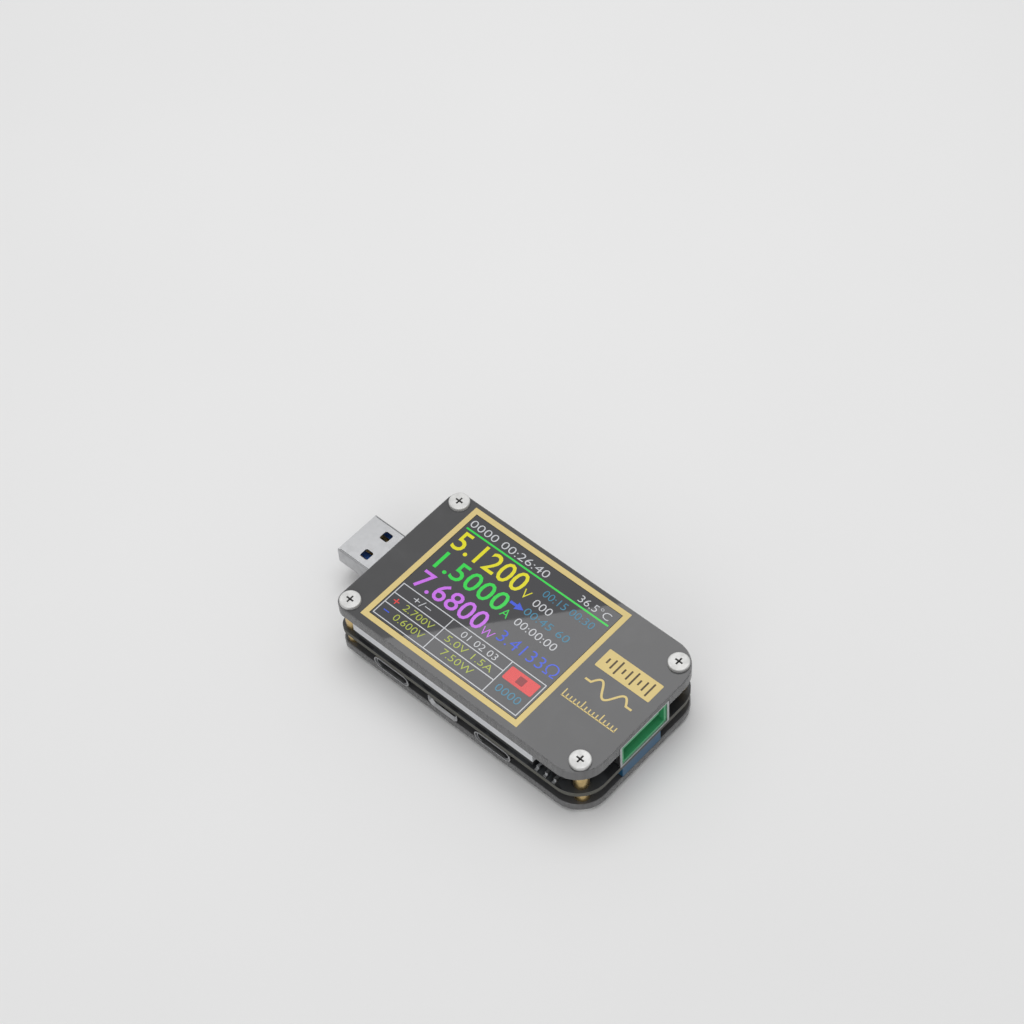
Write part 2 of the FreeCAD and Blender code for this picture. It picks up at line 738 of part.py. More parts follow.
def make_plug_contacts():
    """Contact strips on the block, with tails that reach under the board."""
    shapes = []
    wide = size("contact_width")
    thick = size("contact_thickness")
    top = size("plug_under") + size("plug_wall") + size("plug_block_height")
    back = size("plug_back")
    start = size("plug_tip") + size("contact_setback")
    under = size("board_under")
    for row in contact_rows():
        low_y = size("case_y") + row - wide / 2
        strip = Part.makeBox(back - start + thick, wide, thick, FreeCAD.Vector(start, low_y, top))
        heel = FreeCAD.Vector(back, low_y, under - thick)
        drop = Part.makeBox(thick, wide, top - under + thick, heel)
        foot = Part.makeBox(2 * wide, wide, thick, heel)
        shapes.append(strip.fuse([drop, foot]).removeSplitter())
    sub_part("plug_contacts", solids("PlugContacts", shapes))


def make_socket_shell():
    """Steel tube with a flared lip at its mouth."""
    body_x = "Worked.socket_end - Sizes.socket_length / 2"
    tube = block("SocketTube", "Sizes.socket_length", "Worked.socket_body_width",
                 "Worked.socket_body_height", body_x, "Worked.case_y", "Worked.socket_under")
    lip = block("SocketLip", "Sizes.socket_lip", "Sizes.socket_width", "Sizes.socket_height",
                "Worked.socket_end - Sizes.socket_lip / 2", "Worked.case_y", "Worked.board_top")
    lip = rounded("SocketLipRounded", lip, size("socket_flare"), X_AXIS)
    outside = fuse("SocketOutside", tube, lip)
    bore = block("SocketBore", "Sizes.socket_length",
                 "Worked.socket_body_width - 2 * Sizes.socket_wall",
                 "Worked.socket_body_height - 2 * Sizes.socket_wall", body_x,
                 "Worked.case_y", "Worked.socket_under + Sizes.socket_wall")
    sub_part("socket_shell", cut("SocketShell", outside, bore))


def make_socket_block():
    """Green moulding that lines the shell, with the tongue in its mouth."""
    fit = "Sizes.socket_wall"
    length = "Sizes.socket_length - Sizes.socket_face_depth"
    body_x = "Worked.socket_back + (Sizes.socket_length - Sizes.socket_face_depth) / 2"
    body = block("SocketCore", length, f"Worked.socket_body_width - 2 * {fit}",
                 f"Worked.socket_body_height - 2 * {fit}", body_x, "Worked.case_y",
                 f"Worked.socket_under + {fit}")
    mouth_x = "Worked.socket_end - Sizes.socket_face_depth - Sizes.socket_mouth_depth / 2"
    mouth = block("SocketMouth", "Sizes.socket_mouth_depth", "Sizes.socket_mouth_width",
                  "Sizes.socket_mouth_height", mouth_x, "Worked.case_y", "Worked.mouth_under")
    tongue_reach = "Sizes.socket_mouth_depth - Sizes.tongue_drop"
    tongue_x = f"{mouth_x} - Sizes.tongue_drop / 2"
    tongue_z = ("Worked.mouth_under + Sizes.socket_mouth_height - Sizes.tongue_drop"
                " - Sizes.tongue_thickness")
    tongue = block("SocketTongue", tongue_reach, "Sizes.tongue_width", "Sizes.tongue_thickness",
                   tongue_x, "Worked.case_y", tongue_z)
    hollow = cut("SocketHollow", body, mouth)
    sub_part("socket_block", fuse("SocketBlock", hollow, tongue))


def make_socket_contacts():
    """Four spring strips under the tongue."""
    shapes = []
    wide = size("contact_width")
    thick = size("contact_thickness")
    reach = size("socket_mouth_depth") - 2 * size("tongue_drop")
    start = size("socket_end") - size("socket_face_depth") - size("socket_mouth_depth")
    tongue_under = (size("mouth_under") + size("socket_mouth_height") - size("tongue_drop")
                    - size("tongue_thickness"))
    for row in contact_rows():
        corner = FreeCAD.Vector(start, size("case_y") + row - wide / 2, tongue_under - thick)
        shapes.append(Part.makeBox(reach, wide, thick, corner))
    sub_part("socket_contacts", solids("SocketContacts", shapes))


# ---------------------------------------------------------------- USB-C ports

def make_usb_c_port(label, place):
    """USB-C receptacle under the front edge: shell, tongue and contact pads."""
    centre_x = f"Worked.plug_end + Sizes.{place}"
    centre_z = "Worked.board_under - Sizes.usb_c_height / 2"
    opening = "Sizes.usb_c_height - 2 * Sizes.usb_c_wall"
    tube = pill(label + "_tube", "Sizes.usb_c_width", "Sizes.usb_c_height",
                "Sizes.usb_c_length", centre_x, "Worked.front", centre_z)
    flange = pill(label + "_flange", "Sizes.usb_c_flange_width", "Sizes.usb_c_height",
                  "Sizes.usb_c_flange_thickness", centre_x, "Worked.front", centre_z)
    bore = pill(label + "_bore", "Sizes.usb_c_width - 2 * Sizes.usb_c_wall", opening,
                "Sizes.usb_c_length", centre_x, "Worked.front", centre_z)
    mouth = pill(label + "_mouth", "Sizes.usb_c_flange_width - 2 * Sizes.usb_c_wall", opening,
                 "Sizes.usb_c_flange_thickness", centre_x, "Worked.front", centre_z)
    outside = fuse(label + "_outside", tube, flange)
    inside = fuse(label + "_inside", bore, mouth)
    sub_part(label + "_shell", cut(label + "_case", outside, inside))
    root_front = "Worked.front + Sizes.usb_c_length - Sizes.usb_c_root_depth"
    root = pill(label + "_root", "Sizes.usb_c_width - 2 * Sizes.usb_c_wall", opening,
                "Sizes.usb_c_root_depth", centre_x, root_front, centre_z)
    tongue_y = f"{root_front} - Sizes.usb_c_tongue_reach / 2"
    tongue = block(label + "_bar", "Sizes.usb_c_tongue_width", "Sizes.usb_c_tongue_reach",
                   "Sizes.usb_c_tongue_thickness", centre_x, tongue_y,
                   f"{centre_z} - Sizes.usb_c_tongue_thickness / 2")
    sub_part(label + "_tongue", fuse(label + "_moulding", root, tongue))
    make_usb_c_contacts(label, place)


def make_usb_c_contacts(label, place):
    """Two rows of contact pads, above and below the tongue."""
    pitch = size("usb_c_pad_pitch")
    wide = size("usb_c_pad_width")
    thick = size("usb_c_pad_thickness")
    reach = size("usb_c_pad_length")
    centre_x = size("plug_end") + size(place)
    centre_z = size("board_under") - size("usb_c_height") / 2
    back = size("front") + size("usb_c_length") - size("usb_c_root_depth")
    half = size("usb_c_tongue_thickness") / 2
    shapes = []
    for number in range(USB_C_PADS_PER_ROW):
        low_x = centre_x + (number - (USB_C_PADS_PER_ROW - 1) / 2) * pitch - wide / 2
        for low_z in (centre_z + half, centre_z - half - thick):
            corner = FreeCAD.Vector(low_x, back - reach, low_z)
            shapes.append(Part.makeBox(wide, reach, thick, corner))
    sub_part(label + "_contacts", solids(label + "_pads", shapes))


# ---------------------------------------------------------------- micro-USB ports

def micro_outline(grow, y):
    """Flat-topped outline with sloping lower corners, drawn in the plane at y."""
    half = size("micro_width") / 2 + grow
    high = size("micro_height") / 2
    low = -size("micro_height") / 2 - grow
    slope = size("micro_slope")
    points = [(-half, high + min(grow, 0)), (half, high + min(grow, 0)), (half, low + slope),
              (half - slope, low), (slope - half, low), (-half, low + slope)]
    corners = [FreeCAD.Vector(x, y, z) for x, z in points]
    return Part.makePolygon(corners + corners[:1])


def micro_bar(grow, start, end, end_grow=None):
    """A solid between two outlines of the micro-USB form."""
    last = grow if end_grow is None else end_grow
    return Part.makeLoft([micro_outline(grow, start), micro_outline(last, end)], True, True)


def place_micro(item, x, facing_rear):
    """Stands a micro-USB piece at an edge; its mouth faces -Y as made."""
    z = size("board_under") - size("micro_height") / 2
    if facing_rear:
        turn = FreeCAD.Rotation(Z_AXIS, 180)
        item.Placement = FreeCAD.Placement(FreeCAD.Vector(x, size("rear"), z), turn)
    else:
        item.Placement = FreeCAD.Placement(FreeCAD.Vector(x, size("front"), z), FreeCAD.Rotation())
    return item


def make_micro_port(label, x, facing_rear):
    """Micro-USB receptacle: shell with a flared lip, moulding with a tongue, contacts."""
    flare = size("micro_flare")
    lip = size("micro_flare_length")
    wall = size("micro_wall")
    length = size("micro_length")
    outside = micro_bar(flare, 0, lip, 0).fuse(micro_bar(0, lip, length))
    inside = micro_bar(flare - wall, 0, lip, -wall).fuse(micro_bar(-wall, lip, length))
    shell = doc.addObject("Part::Feature", label + "_case")
    shell.Shape = outside.cut(inside).removeSplitter()
    sub_part(label + "_shell", place_micro(shell, x, facing_rear))
    root_start = length - size("micro_root_depth")
    tongue_wide = size("micro_tongue_width")
    tongue_start = size("micro_tongue_setback")
    corner = FreeCAD.Vector(-tongue_wide / 2, tongue_start, 0)
    tongue_thick = size("micro_tongue_thickness")
    tongue = Part.makeBox(tongue_wide, length - tongue_start, tongue_thick, corner)
    moulding = doc.addObject("Part::Feature", label + "_moulding")
    moulding.Shape = micro_bar(-wall, root_start, length).fuse(tongue).removeSplitter()
    sub_part(label + "_tongue", place_micro(moulding, x, facing_rear))
    contacts = solids(label + "_pads", micro_pads(tongue_start, root_start))
    sub_part(label + "_contacts", place_micro(contacts, x, facing_rear))


def micro_pads(tongue_start, root_start):
    """Contact pads under the tongue, from just behind its tip to its root."""
    wide = size("micro_pad_width")
    thick = size("micro_pad_thickness")
    start = tongue_start + wide
    pads = []
    for number in range(MICRO_PADS):
        low_x = (number - (MICRO_PADS - 1) / 2) * size("micro_pad_pitch") - wide / 2
        low = FreeCAD.Vector(low_x, start, -thick)
        pads.append(Part.makeBox(wide, root_start - start, thick, low))
    return pads


# ---------------------------------------------------------------- keys and mode switch

def station(number):
    """Expression for the middle of one of six equal stations along the rear edge."""
    return f"Worked.edge_start + {number + 0.5} * Worked.station_pitch"


def make_keys():
    """Four side keys, each with a case, a dome and a moving cap held by its flange."""
    cases = []
    domes = []
    for number, name in enumerate(KEY_NAMES):
        cases.append(key_case(name, station(number)))
        domes.append(key_dome(name, station(number)))
        make_key_cap(name, station(number))
    sub_part("key_cases", group("KeyCases", cases))
    sub_part("key_domes", group("KeyDomes", domes))


def key_case(name, x):
    """Case with a cavity for the cap's flange and a window for the cap."""
    rear = "Worked.key_case_rear"
    depth = "Sizes.key_case_depth"
    wall = "Sizes.key_case_wall"
    outside = block(name + "_case_block", "Sizes.key_case_length", depth,
                    "Worked.key_case_height", x, f"{rear} - {depth} / 2",
                    "Worked.board_under - Worked.key_case_height")
    hollow = "Sizes.key_height + Sizes.key_flange + 2 * Sizes.key_clearance"
    cavity_depth = f"{depth} - 2 * {wall}"
    cavity_length = "Sizes.key_width + 2 * Sizes.key_flange + 2 * Sizes.key_clearance"
    cavity = block(name + "_cavity", cavity_length, cavity_depth, hollow, x,
                   f"{rear} - {depth} / 2", f"Worked.key_middle - ({hollow}) / 2")
    window_height = "Sizes.key_height + 2 * Sizes.key_clearance"
    window = block(name + "_window", "Sizes.key_width + 2 * Sizes.key_clearance", f"2 * {wall}",
                   window_height, x, rear, f"Worked.key_middle - ({window_height}) / 2")
    return cut(name + "_case", outside, fuse(name + "_inside", cavity, window))


def key_dome(name, x):
    """Snap dome at the back of the cavity, clear of the cap's full travel."""
    back = "Worked.key_case_rear - Sizes.key_case_depth + Sizes.key_case_wall"
    return cross_rod(name + "_dome", "Sizes.dome_radius", "Sizes.dome_thickness",
                     x, back, "Worked.key_middle")


def make_key_cap(name, x):
    """Cap that stands proud of the plates, with a flange and a stem inside the case."""
    wall_inside = "Worked.key_case_rear - Sizes.key_case_wall - Sizes.key_clearance / 2"
    proud = "Worked.rear + Sizes.key_proud"
    reach = f"({proud}) - ({wall_inside})"
    cap = block(name + "_cap", "Sizes.key_width", reach, "Sizes.key_height", x,
                f"({proud}) - ({reach}) / 2", "Worked.key_middle - Sizes.key_height / 2")
    cap = rounded(name + "_cap_rounded", cap, size("key_rounding"), Y_AXIS)
    flange_height = "Sizes.key_height + Sizes.key_flange"
    flange = block(name + "_flange", "Sizes.key_width + 2 * Sizes.key_flange",
                   "Sizes.key_flange_thickness", flange_height, x,
                   f"({wall_inside}) - Sizes.key_flange_thickness / 2",
                   f"Worked.key_middle - ({flange_height}) / 2")
    stem_end = ("Worked.key_case_rear - Sizes.key_case_depth + Sizes.key_case_wall"
                " + Sizes.dome_thickness + Sizes.key_travel + Sizes.key_clearance")
    stem_depth = f"({wall_inside}) - Sizes.key_flange_thickness / 2 - ({stem_end})"
    stem = cross_rod(name + "_stem", "Sizes.key_stem_radius", stem_depth, x, stem_end,
                     "Worked.key_middle")
    sub_part(name, fuse(name + "_solid", cap, flange, stem))


def make_mode_switch():
    """Slide switch: slotted case, and a carriage with its knob."""
    x = station(SWITCH_STATION)
    wall = "Sizes.switch_wall"
    middle_y = "Worked.switch_rear - Sizes.switch_depth / 2"
    case = block("SwitchBlock", "Sizes.switch_length", "Sizes.switch_depth",
                 "Sizes.switch_height", x, middle_y, "Worked.board_under - Sizes.switch_height")
    hollow = f"Sizes.switch_height - 2 * {wall}"
    cavity = block("SwitchCavity", f"Sizes.switch_length - 2 * {wall}",
                   f"Sizes.switch_depth - 2 * {wall}", hollow, x, middle_y,
                   f"Worked.switch_middle - ({hollow}) / 2")
    slot_length = "Sizes.knob_length + Sizes.knob_travel + 2 * Sizes.slide_clearance"
    slot_height = "Sizes.knob_height + 2 * Sizes.slide_clearance"
    slot = block("SwitchSlot", slot_length, f"2 * {wall}", slot_height, x,
                 "Worked.switch_rear", f"Worked.switch_middle - ({slot_height}) / 2")
    sub_part("mode_switch_case", cut("SwitchCase", case, fuse("SwitchInside", cavity, slot)))
    make_mode_slider(f"{x} - Sizes.knob_travel / 2", hollow)


def make_mode_slider(x, hollow):
    """Carriage and knob, at the plug end of their travel."""
    depth = "(Sizes.switch_depth - 2 * Sizes.switch_wall - 2 * Sizes.slide_clearance)"
    tall = f"{hollow} - 2 * Sizes.slide_clearance"
    middle_y = "Worked.switch_rear - Sizes.switch_depth / 2"
    carriage = block("Carriage", "Sizes.carriage_length", depth, tall, x, middle_y,
                     f"Worked.switch_middle - ({tall}) / 2")
    reach = f"Worked.rear + Sizes.knob_proud - ({middle_y})"
    knob = block("Knob", "Sizes.knob_length", reach, "Sizes.knob_height", x,
                 f"Worked.rear + Sizes.knob_proud - ({reach}) / 2",
                 "Worked.switch_middle - Sizes.knob_height / 2")
    sub_part("mode_slider", fuse("ModeSlider", carriage, knob))


def make_edge_terminals():
    """Solder tabs of the keys and the mode switch, under the board."""
    thick = size("lead_thickness")
    tab = size("edge_tab")
    shapes = []
    for number in range(len(KEY_NAMES)):
        x = size("edge_start") + (number + 0.5) * size("station_pitch")
        for side in (-1, 1):
            edge = x + side * size("key_case_length") / 2
            low_x = edge if side > 0 else edge - tab
            corner = FreeCAD.Vector(low_x, size("key_case_rear") - 2 * tab,
                                    size("board_under") - thick)
            shapes.append(Part.makeBox(tab, tab, thick, corner))
    sub_part("key_terminals", solids("KeyTerminals", shapes))
    x = size("edge_start") + (SWITCH_STATION + 0.5) * size("station_pitch")
    front = size("switch_rear") - size("switch_depth")
    tabs = []
    for step in (-1, 0, 1):
        corner = FreeCAD.Vector(x + step * size("knob_travel") - tab / 4, front - tab,
                                size("board_under") - thick)
        tabs.append(Part.makeBox(tab / 2, tab, thick, corner))
    sub_part("mode_switch_terminals", solids("SwitchTerminals", tabs))


# ---------------------------------------------------------------- electronics

def under_board(name, length, width, thickness, place):
    """A block that hangs under the board, at a place from the middle of the case."""
    x, y = place
    return block(name, length, width, thickness, f"Worked.case_x + {x}",
                 f"Worked.case_y + {y}", f"Worked.board_under - ({thickness})")


def chip_leads(name, place, half_x, half_y, counts, pitch):
    """Flat leads under the board, along the sides of a chip that have a count."""
    wide = size("lead_width")
    thick = size("lead_thickness")
    reach = size("lead_reach")
    z = size("board_under") - thick
    centre = FreeCAD.Vector(size("case_x") + place[0], size("case_y") + place[1], z)
    shapes = []
    for side in (-1, 1):
        for number in range(counts[0]):
            along = (number - (counts[0] - 1) / 2) * pitch - wide / 2
            low_y = half_y if side > 0 else -half_y - reach
            corner = centre + FreeCAD.Vector(along, low_y, 0)
            shapes.append(Part.makeBox(wide, reach, thick, corner))
        for number in range(counts[1]):
            along = (number - (counts[1] - 1) / 2) * pitch - wide / 2
            low_x = half_x if side > 0 else -half_x - reach
            corner = centre + FreeCAD.Vector(low_x, along, 0)
            shapes.append(Part.makeBox(reach, wide, thick, corner))
    return solids(name, shapes)


def make_chips():
    """Controller, current converter, shunts, crystal and inductor under the board."""
    controller = under_board("Controller", "Sizes.chip_length", "Sizes.chip_length",
                             "Sizes.chip_thickness", CONTROLLER_PLACE)
    rounding = size("chip_rounding")
    sub_part("controller_chip", rounded("ControllerRounded", controller, rounding, Z_AXIS))
    half = size("chip_length") / 2
    counts = (CONTROLLER_LEADS_PER_SIDE, CONTROLLER_LEADS_PER_SIDE)
    leads = chip_leads("ControllerLeads", CONTROLLER_PLACE, half, half, counts, size("lead_pitch"))
    sub_part("controller_leads", leads)
    converter = under_board("Converter", "Sizes.converter_length", "Sizes.converter_width",
                            "Sizes.converter_thickness", CONVERTER_PLACE)
    sub_part("converter_chip", converter)
    leads = chip_leads("ConverterLeads", CONVERTER_PLACE, size("converter_length") / 2,
                       size("converter_width") / 2, (CONVERTER_LEADS_PER_SIDE, 0),
                       size("converter_lead_pitch"))
    sub_part("converter_leads", leads)
    shunts = [under_board(f"Shunt{number}", "Sizes.shunt_length", "Sizes.shunt_width",
                          "Sizes.shunt_thickness", place)
              for number, place in enumerate(SHUNT_PLACES, start=1)]
    sub_part("current_shunts", group("CurrentShunts", shunts))
    crystal = under_board("Crystal", "Sizes.crystal_length", "Sizes.crystal_width",
                          "Sizes.crystal_thickness", CRYSTAL_PLACE)
    sub_part("clock_crystal", crystal)
    inductor = under_board("Inductor", "Sizes.inductor_length", "Sizes.inductor_width",
                           "Sizes.inductor_thickness", INDUCTOR_PLACE)
    rounding = size("inductor_rounding")
    sub_part("power_inductor", rounded("InductorRounded", inductor, rounding, Z_AXIS))


def make_small_parts():
    """Capacitors at their places and two rows of resistors, under the board."""
    capacitors = [under_board(f"Capacitor{number}", "Sizes.capacitor_length",
                              "Sizes.capacitor_width", "Sizes.capacitor_width", place)
                  for number, place in enumerate(CAPACITOR_PLACES, start=1)]
    sub_part("capacitors", group("Capacitors", capacitors))
    resistors = []
    for row, y in enumerate(RESISTOR_ROWS):
        for step in range(RESISTORS_PER_ROW):
            place = (RESISTOR_START + RESISTOR_PITCH * step, y)
            resistors.append(under_board(f"Resistor{row}{step}", "Sizes.resistor_length",
                                         "Sizes.resistor_width", "Sizes.resistor_width", place))
    sub_part("resistors", group("Resistors", resistors))


def make_regulator():
    """Three-legged regulator on the board's front edge, beside the display."""
    front = "Worked.front + Sizes.layer_inset + Sizes.part_gap"
    x = "Worked.display_end + Sizes.part_gap + Sizes.regulator_length / 2"
    body = block("RegulatorBody", "Sizes.regulator_length", "Sizes.regulator_width",
                 "Sizes.regulator_thickness", x,
                 f"{front} + Sizes.regulator_leg_reach + Sizes.regulator_width / 2",
                 "Worked.board_top + Sizes.regulator_leg_thickness / 2")
    sub_part("regulator_body", body)
    centre = size("display_end") + size("part_gap") + size("regulator_length") / 2
    start = size("front") + size("layer_inset") + size("part_gap")
    legs = [regulator_leg(centre + step * size("regulator_pitch"), start) for step in (-1, 0, 1)]
    sub_part("regulator_legs", solids("RegulatorLegs", legs))


def regulator_leg(x, front):
    """A bent leg: foot on the board, riser, and a knee that meets the body."""
    wide = size("regulator_leg_width")
    thick = size("regulator_leg_thickness")
    reach = size("regulator_leg_reach")
    board = size("board_top")
    rise = size("regulator_knee_height")
    knee_y = front + reach / 2 - thick
    foot = Part.makeBox(wide, reach / 2, thick, FreeCAD.Vector(x - wide / 2, front, board))
    riser = Part.makeBox(wide, thick, rise, FreeCAD.Vector(x - wide / 2, knee_y, board))
    knee = Part.makeBox(wide, reach / 2 + thick, thick,
                        FreeCAD.Vector(x - wide / 2, knee_y, board + rise - thick))
    return foot.fuse([riser, knee]).removeSplitter()


def make_radio():
    """Radio module under the socket, flush with the board's end."""
    tall = "Worked.lower_gap - Sizes.radio_floor_gap"
    radio = block("Radio", "Sizes.radio_length", "Sizes.radio_width", tall,
                  "Worked.socket_end - Sizes.layer_inset - Sizes.radio_length / 2",
                  "Worked.case_y + Sizes.radio_shift", "Worked.base_top + Sizes.radio_floor_gap")
    sub_part("radio_module", radio)


# ---------------------------------------------------------------- the whole meter

def make_meter():
    """Every piece of the meter, from the plates inwards."""
    make_top_plate()
    make_bottom_plate()
    make_main_board()
    make_fasteners()
    make_display()
    make_ribbon()
    make_plug()
    make_socket_shell()
    make_socket_block()
    make_socket_contacts()
    make_usb_c_port("usb_c_input", "input_port_place")
    make_usb_c_port("usb_c_output", "output_port_place")
    make_micro_port("micro_usb_input", size("plug_end") + size("charge_port_place"), False)
    link_x = size("edge_start") + (LINK_STATION + 0.5) * size("station_pitch")
    make_micro_port("data_link", link_x, True)
    make_keys()
    make_mode_switch()
    make_edge_terminals()
    make_chips()
    make_small_parts()
    make_regulator()
    make_radio()


def check_meter():
    """Stops if any object failed or any piece is empty or invalid."""
    for item in doc.Objects:
        if "Invalid" in item.State or "Error" in item.State:
            raise ValueError(f"{item.Name} failed: {item.State}")
    for item in sub_parts:
        if item.Shape.isNull() or not item.Shape.isValid() or not item.Shape.Solids:
            raise ValueError(f"{item.Label} has no valid solid")


def write_meter():
    """One STEP file for each piece."""
    os.makedirs("parts", exist_ok=True)
    for item in sub_parts:
        item.Shape.exportStep(f"parts/{item.Label}.step")


fill_sheet()
work_out_sizes()
make_meter()
doc.recompute()
check_meter()
write_meter()
print(f"{len(sub_parts)} pieces, {sum(len(item.Shape.Solids) for item in sub_parts)} solids")
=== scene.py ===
"""USB power meter: the finishes, the prints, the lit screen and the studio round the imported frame.

Sizes are in millimetres until a mesh is placed. The frame's x runs from the plug to the socket,
y from the ports to the keys, and z up out of the display.
"""

import json
import logging
import math
from dataclasses import dataclass, field
from enum import Enum

import bmesh
import bpy
import numpy as np
from mathutils import Matrix, Vector


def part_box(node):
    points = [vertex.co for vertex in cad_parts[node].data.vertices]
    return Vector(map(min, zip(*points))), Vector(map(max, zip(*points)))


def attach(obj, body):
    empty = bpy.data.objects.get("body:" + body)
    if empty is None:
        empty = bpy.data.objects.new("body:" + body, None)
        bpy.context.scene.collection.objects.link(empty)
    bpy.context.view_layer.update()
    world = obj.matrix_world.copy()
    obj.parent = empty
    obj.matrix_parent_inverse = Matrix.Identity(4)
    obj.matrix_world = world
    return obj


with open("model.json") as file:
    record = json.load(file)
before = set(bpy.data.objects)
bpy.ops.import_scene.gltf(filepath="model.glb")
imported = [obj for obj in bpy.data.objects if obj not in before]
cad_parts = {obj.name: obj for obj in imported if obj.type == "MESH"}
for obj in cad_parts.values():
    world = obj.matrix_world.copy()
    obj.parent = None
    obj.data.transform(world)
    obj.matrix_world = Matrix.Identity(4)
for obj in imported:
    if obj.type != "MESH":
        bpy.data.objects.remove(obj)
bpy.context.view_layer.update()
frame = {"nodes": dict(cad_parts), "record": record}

MM = 0.001
JOIN = 1e-4
LOG = logging.getLogger("meter")
Colour = tuple[float, float, float]
Place = tuple[float, float]
Slope = tuple[float, float]
Shape = tuple[np.ndarray, list]
EVEN: Colour = (1.0, 1.0, 1.0)
CELL_PITCH = 0.13
LETTER_STEPS = 3
BEDDED = 0.01
OVERLAY = 0.02


def from_screen(red: int, green: int, blue: int) -> Colour:
    """Returns a 0 to 255 display colour as linear light, by the display's power curve."""
    return tuple(((v / 255 + 0.055) / 1.055) ** 2.4 for v in (red, green, blue))


# Shader maths

class Wire:
    """A shader socket whose arithmetic adds Math nodes."""

    def __init__(self, bench: "Bench", socket: bpy.types.NodeSocket) -> None:
        """Keeps the bench that adds nodes and the socket that this wire starts at."""
        self.bench = bench
        self.socket = socket

    def _math(self, operation: str, first: "Wire | float", second: "Wire | float") -> "Wire":
        """Returns the wire out of a Math node with that operation."""
        return self.bench.node("ShaderNodeMath", {"operation": operation}, {0: first, 1: second})

    def __add__(self, other: "Wire | float") -> "Wire":
        """Returns self + other."""
        return self._math("ADD", self, other)

    __radd__ = __add__

    def __sub__(self, other: "Wire | float") -> "Wire":
        """Returns self - other."""
        return self._math("SUBTRACT", self, other)

    def __rsub__(self, other: "Wire | float") -> "Wire":
        """Returns other - self."""
        return self._math("SUBTRACT", other, self)

    def __mul__(self, other: "Wire | float") -> "Wire":
        """Returns self * other."""
        return self._math("MULTIPLY", self, other)

    __rmul__ = __mul__

    def __truediv__(self, other: "Wire | float") -> "Wire":
        """Returns self / other."""
        return self._math("DIVIDE", self, other)

    def __rtruediv__(self, other: "Wire | float") -> "Wire":
        """Returns other / self."""
        return self._math("DIVIDE", other, self)

    def __abs__(self) -> "Wire":
        """Returns the size of self without its sign."""
        return self._math("ABSOLUTE", self, 0.0)

    def wave(self) -> "Wire":
        """Returns the sine of self, an angle in radians."""
        return self._math("SINE", self, 0.0)

    def step(self, low: float, high: float) -> "Wire":
        """Returns 0 below low, 1 above high, and a smooth slope between them.

        Args:
            low: where the slope starts.
            high: where it ends.

        Returns:
            The wire out of a Map Range node.
        """
        sockets = {"Value": self, "From Min": low, "From Max": high}
        return self.bench.node("ShaderNodeMapRange", {"interpolation_type": "SMOOTHSTEP"}, sockets)


class Axis(Enum):
    """A direction of the frame, by its place in a vector."""

    X = 0
    Y = 1
    Z = 2


MIX_FACTOR, MIX_FIRST, MIX_SECOND, MIX_RESULT = 0, 6, 7, 2


